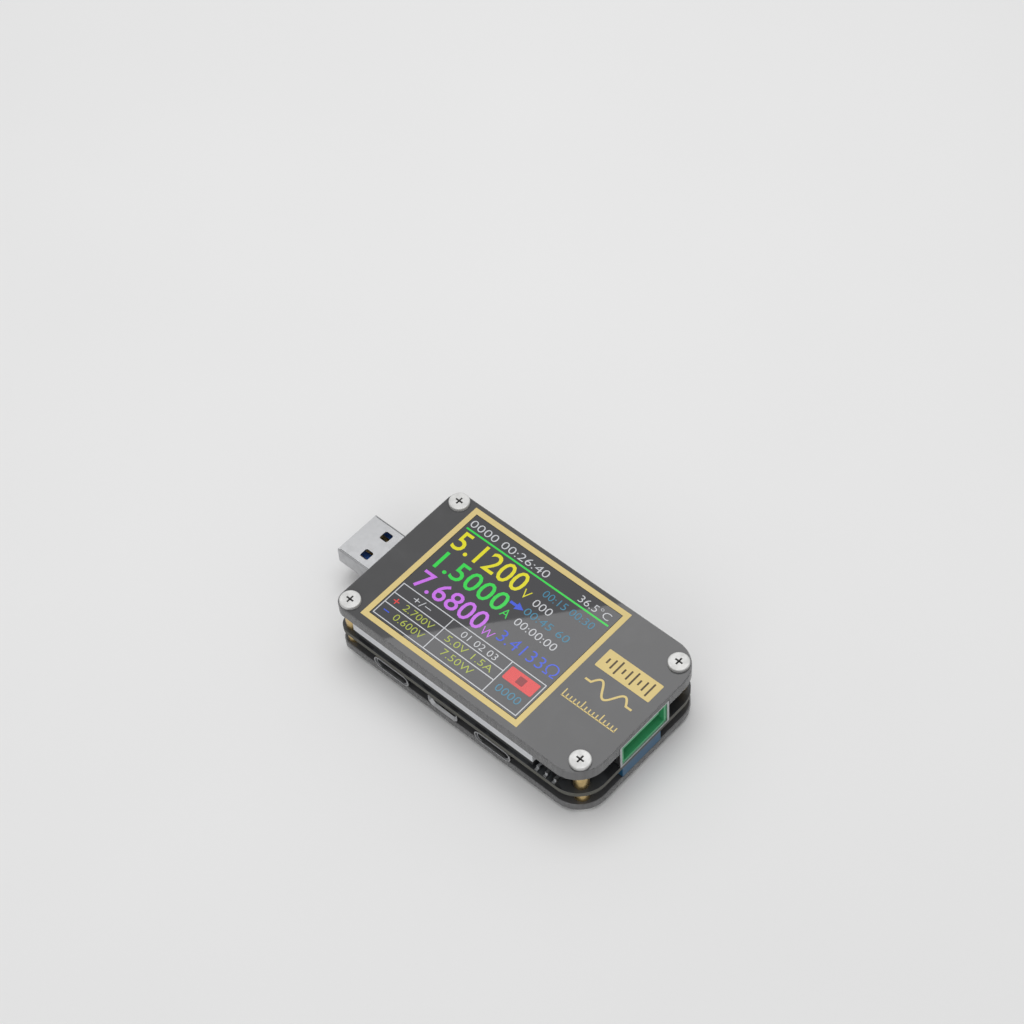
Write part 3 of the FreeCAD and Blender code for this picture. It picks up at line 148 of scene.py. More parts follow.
class Bench:
    """A material under construction: its node tree, and one way to add any node."""

    def __init__(self, name: str) -> None:
        """Starts a material of that name with a Principled shader and an output."""
        self.material = bpy.data.materials.new(name)
        self.material.use_nodes = True
        self.tree = self.material.node_tree
        self.tree.nodes.clear()
        self.surface = self.tree.nodes.new("ShaderNodeBsdfPrincipled")
        output = self.tree.nodes.new("ShaderNodeOutputMaterial")
        self.tree.links.new(self.surface.outputs[0], output.inputs[0])

    def node(self, kind: str, settings: dict, sockets: dict, output: int = 0) -> Wire:
        """Adds one node.

        Args:
            kind: the node's type.
            settings: its properties, set first.
            sockets: a number, a colour or a wire for each named or numbered input.
            output: which output the wire starts at.

        Returns:
            The wire out of the node.
        """
        made = self.tree.nodes.new(kind)
        for name, value in settings.items():
            setattr(made, name, value)
        for name, value in sockets.items():
            self.feed(made.inputs[name], value)
        return Wire(self, made.outputs[output])

    def feed(self, socket: bpy.types.NodeSocket, value: "Wire | float | Colour") -> None:
        """Links a wire to a socket, or sets the socket to a number or a colour."""
        if isinstance(value, Wire):
            self.tree.links.new(value.socket, socket)
        elif isinstance(value, tuple) and socket.type == "RGBA":
            socket.default_value = (*value, 1.0)
        else:
            socket.default_value = value

    def shade(self, **sockets: "Wire | float | Colour") -> None:
        """Feeds the Principled shader; Base_Color stands for its socket Base Color."""
        for name, value in sockets.items():
            self.feed(self.surface.inputs[name.replace("_", " ")], value)

    def place(self) -> Wire:
        """Returns the place on the piece in metres, in the frame's own axes."""
        return self.node("ShaderNodeTexCoord", {}, {}, output=3)

    def along(self, axis: Axis) -> Wire:
        """Returns the place along one axis in millimetres."""
        parts = self.node("ShaderNodeSeparateXYZ", {}, {0: self.place()}, output=axis.value)
        return parts / MM

    def ripple(self, axis: Axis, pitch: float) -> Wire:
        """Returns a sine from -1 to 1 that repeats each pitch millimetres along an axis."""
        return (self.along(axis) * (math.tau / pitch)).wave()

    def facing(self, axis: Axis) -> Wire:
        """Returns how much the surface faces along an axis, from -1 to 1."""
        normal = self.node("ShaderNodeNewGeometry", {}, {}, output=1)
        return self.node("ShaderNodeSeparateXYZ", {}, {0: normal}, output=axis.value)

    def grain(self, size: float, stretch: Colour = EVEN, detail: float = 2.0) -> Wire:
        """Adds noise from 0 to 1.

        Args:
            size: how far apart its blotches are, in millimetres.
            stretch: how many times longer they are along each axis.
            detail: how many finer layers it has.

        Returns:
            The noise.
        """
        scale = tuple(1.0 / s for s in stretch)
        vector = self.node("ShaderNodeMapping", {}, {"Vector": self.place(), "Scale": scale})
        sockets = {"Vector": vector, "Scale": 1.0 / (size * MM), "Detail": detail}
        return self.node("ShaderNodeTexNoise", {}, sockets)

    def blend(self, factor: Wire, first: "Wire | Colour", second: "Wire | Colour") -> Wire:
        """Returns a colour from first, at factor 0, to second, at 1."""
        sockets = {MIX_FACTOR: factor, MIX_FIRST: first, MIX_SECOND: second}
        return self.node("ShaderNodeMix", {"data_type": "RGBA"}, sockets, output=MIX_RESULT)

    def bump(self, height: Wire, depth: float) -> Wire:
        """Returns the normal of a surface whose height runs from 0 to depth millimetres."""
        return self.node("ShaderNodeBump", {}, {"Distance": depth * MM, "Height": height})


# Finishes

def shaded(colour: Colour, factor: float) -> Colour:
    """Returns a colour made lighter or darker by a factor."""
    return tuple(min(v * factor, 1.0) for v in colour)


@dataclass(frozen=True)
class Finish:
    """What each finish has: a name and its main colour."""

    name: str
    colour: Colour

    def dress(self, bench: Bench) -> None:
        """Adds this finish's nodes to a bench."""
        raise NotImplementedError

    def material(self) -> bpy.types.Material:
        """Returns the finish's material, made the first time it is asked for."""
        full_name = f"{self.name}_finish"
        made = bpy.data.materials.get(full_name)
        if made is None:
            bench = Bench(full_name)
            self.dress(bench)
            made = bench.material
        return made


@dataclass(frozen=True)
class Moulded(Finish):
    """Moulded or pressed material: fine grain, slow cloudiness and a soft sheen."""

    roughness: float = 0.45
    grain_size: float = 0.12
    grain_depth: float = 0.006
    cloud: float = 0.16
    coat: float = 0.0
    coat_roughness: float = 0.12
    cloud_size: float = 2.6
    cloud_share: float = 0.6
    roughness_drift: float = 0.16

    def dress(self, bench: Bench) -> None:
        """Colour and roughness drift with a slow noise; a fine noise is the grain."""
        drift = bench.grain(self.cloud_size)
        grain = bench.grain(self.grain_size, detail=3.0)
        light = shaded(self.colour, 1 + self.cloud)
        dark = shaded(self.colour, 1 - self.cloud)
        mixed = drift * self.cloud_share + grain * (1 - self.cloud_share)
        bench.shade(
            Base_Color=bench.blend(mixed, dark, light),
            Roughness=self.roughness + (drift - 0.5) * self.roughness_drift,
            Coat_Weight=self.coat,
            Coat_Roughness=self.coat_roughness,
            Normal=bench.bump(grain, self.grain_depth),
        )


@dataclass(frozen=True)
class Metal(Finish):
    """Plated or turned metal: streaks along one axis, and patches of duller plating."""

    roughness: float = 0.28
    streak: Colour = EVEN
    streak_size: float = 0.08
    depth: float = 0.004
    dull: float = 0.2
    metallic: float = 1.0
    patch_size: float = 1.7
    patch_slope: Slope = (0.35, 0.7)
    patch_roughness: float = 0.12
    streak_roughness: float = 0.1

    def dress(self, bench: Bench) -> None:
        """Streaks raise the surface; slow patches darken the colour and raise the roughness."""
        streaks = bench.grain(self.streak_size, self.streak)
        patches = bench.grain(self.patch_size, detail=4.0).step(*self.patch_slope)
        rough = patches * self.patch_roughness + (streaks - 0.5) * self.streak_roughness
        bench.shade(
            Base_Color=bench.blend(patches, self.colour, shaded(self.colour, 1 - self.dull)),
            Metallic=self.metallic,
            Roughness=self.roughness + rough,
            Normal=bench.bump(streaks, self.depth),
        )


@dataclass(frozen=True)
class Acrylic(Finish):
    """Smoked acrylic: a dark polished face, and laser-cut edges that let light through."""

    edge: Colour = (0.21, 0.21, 0.213)
    edge_alpha: float = 0.72
    face_alpha: float = 1.0
    edge_roughness: float = 0.24
    face_roughness: float = 0.02
    face_slope: Slope = (0.75, 0.95)
    cut_size: float = 0.7
    cut_stretch: Colour = (1.0, 1.0, 14.0)
    cut_depth: float = 0.003
    cut_contrast: float = 0.25
    dust_size: float = 7.0
    dust_slope: Slope = (0.45, 0.8)
    dust_light: float = 1.15
    dust_roughness: float = 0.012
    refraction: float = 1.49

    def dress(self, bench: Bench) -> None:
        """The face shows where the surface looks up or down; elsewhere it is the cut edge."""
        flat = abs(bench.facing(Axis.Z)).step(*self.face_slope)
        cut = bench.grain(self.cut_size, self.cut_stretch)
        dust = bench.grain(self.dust_size, detail=5.0).step(*self.dust_slope)
        dark = shaded(self.edge, 1 - self.cut_contrast)
        light = shaded(self.edge, 1 + self.cut_contrast)
        edge = bench.blend(cut, dark, light)
        face = bench.blend(dust, self.colour, shaded(self.colour, self.dust_light))
        polish = flat * (self.face_roughness - self.edge_roughness)
        bench.shade(
            Base_Color=bench.blend(flat, edge, face),
            Roughness=self.edge_roughness + polish + dust * self.dust_roughness,
            Alpha=self.edge_alpha + flat * (self.face_alpha - self.edge_alpha),
            IOR=self.refraction,
            Normal=bench.bump(cut * (1 - flat), self.cut_depth),
        )


@dataclass(frozen=True)
class SolderMask(Finish):
    """A circuit board: satin mask on its faces and bare glass laminate on its edges."""

    laminate: Colour = (0.15, 0.148, 0.125)
    copper_shade: Colour = (0.06, 0.065, 0.07)
    layer: float = 0.5
    layer_slope: Slope = (0.2, 0.9)
    layer_share: float = 0.8
    weave: float = 0.5
    weave_share: float = 0.15
    pour_size: float = 5.0
    pour_slope: Slope = (0.46, 0.5)
    pour_share: float = 0.6
    face_slope: Slope = (0.5, 0.8)
    edge_roughness: float = 0.62
    face_roughness: float = 0.36
    relief: float = 0.012
    pour_relief: float = 0.7
    speckle_size: float = 0.2
    gap_shade: float = 0.35

    def dress(self, bench: Bench) -> None:
        """Layers of cloth stripe the edges; a weave shows faintly through the mask."""
        flat = abs(bench.facing(Axis.Z)).step(*self.face_slope)
        layers = bench.ripple(Axis.Z, self.layer).step(*self.layer_slope)
        weave_x = bench.ripple(Axis.X, self.weave)
        weave_y = bench.ripple(Axis.Y, self.weave)
        weave = weave_x * weave_y * 0.5 + 0.5
        pour = bench.grain(self.pour_size, detail=1.0).step(*self.pour_slope)
        copper = pour * self.pour_share + weave * self.weave_share
        face = bench.blend(copper, self.colour, self.copper_shade)
        speckle = bench.grain(self.speckle_size)
        cloth = layers * self.layer_share + speckle * (1 - self.layer_share)
        edge = bench.blend(cloth, shaded(self.laminate, self.gap_shade), self.laminate)
        height = pour * self.pour_relief + weave * (1 - self.pour_relief)
        bench.shade(
            Base_Color=bench.blend(flat, edge, face),
            Roughness=self.edge_roughness + flat * (self.face_roughness - self.edge_roughness),
            Normal=bench.bump(height, self.relief),
        )


@dataclass(frozen=True)
class Striped(Finish):
    """A film or body with conductors that run side by side along x."""

    stripe: Colour = (0.7, 0.42, 0.16)
    pitch: float = 0.5
    roughness: float = 0.3
    stripe_slope: Slope = (-0.1, 0.25)
    stripe_share: float = 0.8
    relief: float = 0.02
    blotch: float = 0.6
    sheen_size: float = 1.2
    sheen: float = 0.1

    def dress(self, bench: Bench) -> None:
        """The stripes are where the sine of y over the pitch is high."""
        across = bench.ripple(Axis.Y, self.pitch).step(*self.stripe_slope)
        mixed = across * self.stripe_share + bench.grain(self.blotch) * (1 - self.stripe_share)
        bench.shade(
            Base_Color=bench.blend(mixed, self.colour, self.stripe),
            Roughness=self.roughness + bench.grain(self.sheen_size) * self.sheen,
            Normal=bench.bump(across, self.relief),
        )


@dataclass(frozen=True)
class PrintedInk(Finish):
    """Screen-printed ink: nearly flat, with the mesh's faint dots and a satin skin."""

    roughness: float = 0.42
    metallic: float = 0.0
    mesh_pitch: float = 0.3
    thin: float = 0.9
    thick: float = 1.06
    drift_size: float = 3.0
    drift_share: float = 0.7
    dot_share: float = 0.15
    dot_depth: float = 0.003
    sheen: float = 0.08

    def dress(self, bench: Bench) -> None:
        """The dots are the product of two sines at the print mesh's pitch."""
        dots = bench.ripple(Axis.X, self.mesh_pitch) * bench.ripple(Axis.Y, self.mesh_pitch)
        drift = bench.grain(self.drift_size)
        thin, thick = shaded(self.colour, self.thin), shaded(self.colour, self.thick)
        mixed = drift * self.drift_share + dots * self.dot_share
        bench.shade(
            Base_Color=bench.blend(mixed, thin, thick),
            Metallic=self.metallic,
            Roughness=self.roughness + drift * self.sheen,
            Normal=bench.bump(dots, self.dot_depth),
        )


@dataclass(frozen=True)
class LitCells(Finish):
    """Lit cells of the screen: colour that glows through the panel's grid of dark gaps."""

    pitch: float = CELL_PITCH
    strength: float = 0.85
    gap_slope: Slope = (-1.0, -0.4)
    gap_depth: float = 0.35
    unlit: float = 0.12
    roughness: float = 0.12

    def dress(self, bench: Bench) -> None:
        """A gap is where the sine of x or of y over the cells' pitch is at its lowest."""
        columns = bench.ripple(Axis.X, self.pitch).step(*self.gap_slope)
        rows = bench.ripple(Axis.Y, self.pitch).step(*self.gap_slope)
        lit = columns * rows * self.gap_depth + (1 - self.gap_depth)
        bench.shade(
            Base_Color=shaded(self.colour, self.unlit),
            Roughness=self.roughness,
            Emission_Color=bench.blend(lit, (0.0, 0.0, 0.0), self.colour),
            Emission_Strength=self.strength,
        )


@dataclass(frozen=True)
class ScreenGlass(Finish):
    """A dark liquid-crystal panel under gloss glass, with a faint grid of cells."""

    pitch: float = CELL_PITCH
    cell_light: float = 1.25
    roughness: float = 0.015
    smear_size: float = 6.0
    smear_slope: Slope = (0.5, 0.8)
    refraction: float = 1.5

    def dress(self, bench: Bench) -> None:
        """The unlit cells are a little lighter than the gaps; smears double the roughness."""
        columns = bench.ripple(Axis.X, self.pitch) * 0.5 + 0.5
        smears = bench.grain(self.smear_size).step(*self.smear_slope)
        bench.shade(
            Base_Color=bench.blend(columns, self.colour, shaded(self.colour, self.cell_light)),
            Roughness=self.roughness + smears * self.roughness,
            IOR=self.refraction,
        )


@dataclass(frozen=True)
class Paper(Finish):
    """The studio's plain pale floor."""

    roughness: float = 0.8
    drift_size: float = 60.0
    dim: float = 0.97

    def dress(self, bench: Bench) -> None:
        """A very slow drift keeps the paper from being one flat colour."""
        drift = bench.grain(self.drift_size)
        colour = bench.blend(drift, self.colour, shaded(self.colour, self.dim))
        bench.shade(Base_Color=colour, Roughness=self.roughness)


GOLD_INK = PrintedInk("gold_ink", from_screen(218, 196, 130), roughness=0.36, metallic=0.15)
DARK_INK = PrintedInk("dark_ink", (0.085, 0.06, 0.028))
TRACK_MASK = Moulded("track_mask", (0.035, 0.037, 0.04), 0.35)
# Painted shade: a near-black laid where shade falls in the screw recesses and the plug's fold
# creases.
RECESS_SHADE = Moulded("recess_shade", (0.012, 0.012, 0.012), 0.7)
OWN_NAMED = (
    Acrylic("smoked_acrylic", (0.08, 0.08, 0.082)),
    Metal("screw_plating", (0.68, 0.68, 0.67), 0.45, streak_size=0.4,
          depth=0.001, dull=0.1, metallic=0.4),
    ScreenGlass("display_glass", (0.062, 0.062, 0.066)),
    Moulded("tray_white", (0.64, 0.65, 0.67), 0.4, cloud=0.05),
    Moulded("foam_black", (0.035, 0.035, 0.037), 0.85, 0.2, 0.08, 0.4),
    Striped("ribbon_amber", (0.34, 0.15, 0.03)),
    Moulded("connector_cream", (0.68, 0.62, 0.47)),
    Metal("plated_steel", (0.5, 0.505, 0.515), 0.3, (18.0, 1.0, 1.0),
          streak_size=0.12, depth=0.001, dull=0.1),
    Moulded("moulding_blue", (0.02, 0.09, 0.34), 0.4, coat=0.2),
    Moulded("moulding_green", (0.06, 0.4, 0.17), 0.4, coat=0.2),
    Moulded("moulding_black", (0.014, 0.014, 0.016), 0.5),
    Metal("gold_contact", (0.83, 0.62, 0.26), 0.2, (10.0, 1.0, 1.0)),
    Moulded("key_ivory", (0.72, 0.7, 0.63), 0.4, cloud=0.06),
    Metal("solder_tin", (0.66, 0.67, 0.68), 0.34, depth=0.01),
    Moulded("chip_black", (0.022, 0.022, 0.024), 0.55, 0.07, 0.008, 0.3),
    Metal("shunt_metal", (0.56, 0.56, 0.54), 0.34, (1.0, 12.0, 1.0)),
    Moulded("ceramic_tan", (0.34, 0.23, 0.13), 0.5, cloud=0.2),
    Moulded("inductor_grey", (0.11, 0.11, 0.115), 0.6, 0.1, 0.012, 0.3),
    Moulded("radio_blue", (0.01, 0.085, 0.18), 0.42, coat=0.1),
)
SLOT_FINISHES = {finish.name: finish for finish in OWN_NAMED} | {
    "board_black": SolderMask("solder_mask", (0.022, 0.023, 0.025)),
    "brass": Metal("turned_brass", (0.72, 0.53, 0.24), 0.25, (1.0, 1.0, 0.06), 0.5, 0.006),
}


# Surfaces

def link(thing: bpy.types.Object) -> bpy.types.Object:
    """Puts an object into the scene and returns it."""
    bpy.context.scene.collection.objects.link(thing)
    return thing


def add_piece(name: str, mesh: bpy.types.Mesh, finish: Finish,
              body: str = "frame") -> bpy.types.Object:
    """Links a mesh as a piece that rides on a body.

    Args:
        name: the piece's name.
        mesh: its mesh, in metres, in the frame.
        finish: what it is made of.
        body: the body that it moves with.

    Returns:
        The piece.
    """
    mesh.materials.clear()
    mesh.materials.append(finish.material())
    piece = link(bpy.data.objects.new(name, mesh))
    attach(piece, body)
    LOG.info("%s: %d faces", name, len(mesh.polygons))
    return piece


def faced_out(mesh: bpy.types.Mesh, join: float = 0.0) -> bpy.types.Mesh:
    """Points the faces of every shell of a mesh outwards.

    Args:
        mesh: the mesh, which is changed.
        join: how near two points lie to become one; 0 leaves all the points.

    Returns:
        The same mesh.
    """
    work = bmesh.new()
    work.from_mesh(mesh)
    if join:
        bmesh.ops.remove_doubles(work, verts=work.verts, dist=join)
    bmesh.ops.recalc_face_normals(work, faces=work.faces)
    work.to_mesh(mesh)
    work.free()
    mesh.update()
    return mesh


def mesh_of(name: str, parts: list[Shape]) -> bpy.types.Mesh:
    """Joins several shapes into one mesh and turns millimetres into metres.

    Args:
        name: the mesh's name.
        parts: for each shape, its points and its faces.

    Returns:
        The mesh.
    """
    points, faces, start = [], [], 0
    for shape, rings in parts:
        points.append(shape)
        faces.extend([tuple(int(i) + start for i in face) for face in rings])
        start += len(shape)
    mesh = bpy.data.meshes.new(name)
    mesh.from_pydata((np.concatenate(points) * MM).tolist(), [], faces)
    mesh.validate()
    return faced_out(mesh)


def swept(path: np.ndarray, profile: np.ndarray, closed: bool = False) -> Shape:
    """Carries a profile along a flat path, mitred at its corners.

    The point at (i, j) is path i, plus the mitre direction at i times the profile's sideways
    reach j, plus the profile's height j. The mitre is the sum of the two unit normals that meet
    at i, divided by one plus their dot product.

    Args:
        path: n points (x, y).
        profile: m points (sideways, height), anticlockwise seen from the path's end.
        closed: whether the path joins its own start.

    Returns:
        The points and the faces of the closed surface.
    """
    runs = np.roll(path, -1, 0) - path
    runs /= np.linalg.norm(runs, axis=1, keepdims=True)
    if not closed:
        runs[-1] = runs[-2]
    before = np.roll(runs, 1, 0)
    if not closed:
        before[0] = runs[0]
    normals = np.stack([-runs[:, 1], runs[:, 0]], 1)
    earlier = np.stack([-before[:, 1], before[:, 0]], 1)
    mitres = (normals + earlier) / (1 + (normals * earlier).sum(1, keepdims=True))
    flat = path[:, None, :] + mitres[:, None, :] * profile[None, :, :1]
    height = np.broadcast_to(profile[None, :, 1:], (*flat.shape[:2], 1))
    points = np.concatenate([flat, height], 2).reshape(-1, 3)
    count, sides = len(path), len(profile)
    i, j = np.meshgrid(np.arange(count if closed else count - 1), np.arange(sides), indexing="ij")
    following, beside = (i + 1) % count, (j + 1) % sides
    faces = np.stack([i * sides + j, following * sides + j, following * sides + beside,
                      i * sides + beside], -1).reshape(-1, 4).tolist()
    if not closed:
        faces.append(list(range(sides)))
        faces.append([(count - 1) * sides + k for k in range(sides - 1, -1, -1)])
    return points, faces


def strip_profile(width: float, low: float, high: float) -> np.ndarray:
    """Returns a print's section: flat below, its upper corners cut off by a third of its height."""
    half, cut = width / 2, (high - low) / 3
    return np.array([(-half, low), (-half, high - cut), (-half + cut, high), (half - cut, high),
                     (half, high - cut), (half, low)])[::-1]


def rounded_outline(width: float, depth: float, radius: float, steps: int = 6) -> np.ndarray:
    """Outline of a rectangle with round corners, about its middle.

    Corner k's arc runs from angle 90k to 90(k + 1) degrees about a point that lies the radius
    inside both of its sides.

    Args:
        width: its size along x.
        depth: its size along y.
        radius: the corners' radius.
        steps: how many runs each corner has.

    Returns:
        The points (x, y), anticlockwise.
    """
    turn = np.linspace(0, math.pi / 2, steps + 1)
    corners = []
    for k, (sx, sy) in enumerate(((1, 1), (-1, 1), (-1, -1), (1, -1))):
        angle = turn + k * math.pi / 2
        centre = np.array([sx * (width / 2 - radius), sy * (depth / 2 - radius)])
        corners.append(centre + radius * np.stack([np.cos(angle), np.sin(angle)], 1))
    return np.concatenate(corners)


def slab(outline: np.ndarray, low: float, high: float, cut: float) -> Shape:
    """A flat plate with a small slope round its top.

    Ring 0 is the outline at low, ring 1 the same at high less the cut, and ring 2 is pulled in
    towards the middle by the cut and lies at high. The two ends are one face each.

    Args:
        outline: points (x, y), anticlockwise.
        low: its underside.
        high: its top.
        cut: the slope's size.

    Returns:
        The points and the faces.
    """
    middle = outline.mean(0)
    reach = np.abs(outline - middle).max(0)
    inner = middle + (outline - middle) * (1 - cut / reach)
    rings = [(outline, low), (outline, high - cut), (inner, high)]
    points = np.concatenate([np.column_stack([ring, np.full(len(ring), z)]) for ring, z in rings])
    count = len(outline)
    i, k = np.meshgrid(np.arange(2), np.arange(count), indexing="ij")
    following = (k + 1) % count
    faces = np.stack([i * count + k, i * count + following, (i + 1) * count + following,
                      (i + 1) * count + k], -1).reshape(-1, 4).tolist()
    faces.append(list(range(count - 1, -1, -1)))
    faces.append(list(range(2 * count, 3 * count)))
    return points, faces


def lettering(text: str, weight: float) -> bpy.types.Mesh:
    """Makes digits and signs as a closed solid of unit thickness.

    Args:
        text: what it reads.
        weight: how much bolder its strokes are, as a share of its height; below 0 is thinner.

    Returns:
        A mesh whose box starts at the origin.
    """
    curve = bpy.data.curves.new("lettering", "FONT")
    curve.body = text
    curve.offset = weight / 2
    curve.extrude = 0.5
    curve.resolution_u = LETTER_STEPS
    holder = link(bpy.data.objects.new("lettering", curve))
    bpy.context.view_layer.update()
    solid = holder.evaluated_get(bpy.context.evaluated_depsgraph_get())
    mesh = bpy.data.meshes.new_from_object(solid)
    bpy.data.objects.remove(holder)
    return faced_out(mesh, JOIN)


# The printed face and the lit screen

@dataclass
class Face:
    """The meter's top face, with places in millimetres from the printed frame's corner."""

    margin: float = 0.75
    sunk: float = 0.02
    raised: float = 0.03
    origin: Vector = field(init=False)
    size: Vector = field(init=False)
    top: float = field(init=False)

    def __post_init__(self) -> None:
        """Works out the printed frame and the face's height from the display panel's box."""
        low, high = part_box("display_panel")
        edge = Vector((self.margin, self.margin))
        self.origin = Vector((low.x, low.y)) / MM - edge
        self.size = Vector((high.x - low.x, high.y - low.y)) / MM + 2 * edge
        self.top = high.z / MM

    def at(self, points: np.ndarray) -> np.ndarray:
        """Returns flat places on the face as places in the frame."""
        return np.asarray(points, float) + np.array(self.origin)

    def line(self, path: list[Place], width: float, closed: bool = False) -> Shape:
        """A printed or lit line.

        Args:
            path: its corners.
            width: how wide it is.
            closed: whether it joins its own start.

        Returns:
            The points and the faces.
        """
        profile = strip_profile(width, self.top - self.sunk, self.top + self.raised)
        return swept(self.at(path), profile, closed)

    def block(self, corner: Place, opposite: Place, radius: float,
              lift: float = 0.0) -> Shape:
        """A printed or lit block between two corners.

        Args:
            corner: its lowest corner.
            opposite: its highest corner.
            radius: how round its corners are.
            lift: how much higher than other prints it stands.

        Returns:
            The points and the faces.
        """
        low, high = np.array(corner), np.array(opposite)
        return self.plate(rounded_outline(*(high - low), radius) + (low + high) / 2, lift)

    def plate(self, outline: np.ndarray, lift: float = 0.0) -> Shape:
        """Returns a printed or lit plate of that outline."""
        low, high = self.top - self.sunk, self.top + self.raised + lift
        return slab(self.at(outline), low, high, self.raised / 3)

    def write(self, name: str, text: str, box: tuple[float, float, float, float], finish: Finish,
              weight: float = 0.0) -> bpy.types.Object:
        """Fits digits or signs into a box on the face.

        Args:
            name: the piece's name.
            text: what it reads.
            box: the box's left, lower, right and upper sides.
            finish: what it is made of.
            weight: how much bolder its strokes are.

        Returns:
            The piece.
        """
        mesh = lettering(text, weight)
        points = np.empty(len(mesh.vertices) * 3)
        mesh.vertices.foreach_get("co", points)
        points = points.reshape(-1, 3)
        low, high = points.min(0), points.max(0)
        left, lower, right, upper = box
        start = np.array([*self.at((left, lower)), self.top - self.sunk])
        reach = np.array([right - left, upper - lower, self.sunk + self.raised])
        points = (start + (points - low) / (high - low) * reach) * MM
        mesh.vertices.foreach_set("co", points.ravel())
        mesh.update()
        return add_piece(name, mesh, finish)


class Light(Enum):
    """The screen's colours, each as the finish of its lit cells."""

    YELLOW = LitCells("lit_yellow", from_screen(240, 232, 40))
    GREEN = LitCells("lit_green", from_screen(56, 226, 84))
    VIOLET = LitCells("lit_violet", from_screen(214, 120, 246))
    BLUE = LitCells("lit_blue", from_screen(62, 92, 228))
    CYAN = LitCells("lit_cyan", from_screen(58, 138, 170))
    WHITE = LitCells("lit_white", from_screen(214, 216, 220))
    LIME = LitCells("lit_lime", from_screen(184, 196, 70))
    RED = LitCells("lit_red", from_screen(236, 74, 74))
    DULL_RED = LitCells("lit_dull_red", from_screen(150, 42, 48))


@dataclass(frozen=True)
class Reading:
    """A number on the screen: its name, what it reads, its box and its colour."""

    name: str
    text: str
    box: tuple[float, float, float, float]
    light: Light
    weight: float = -0.02


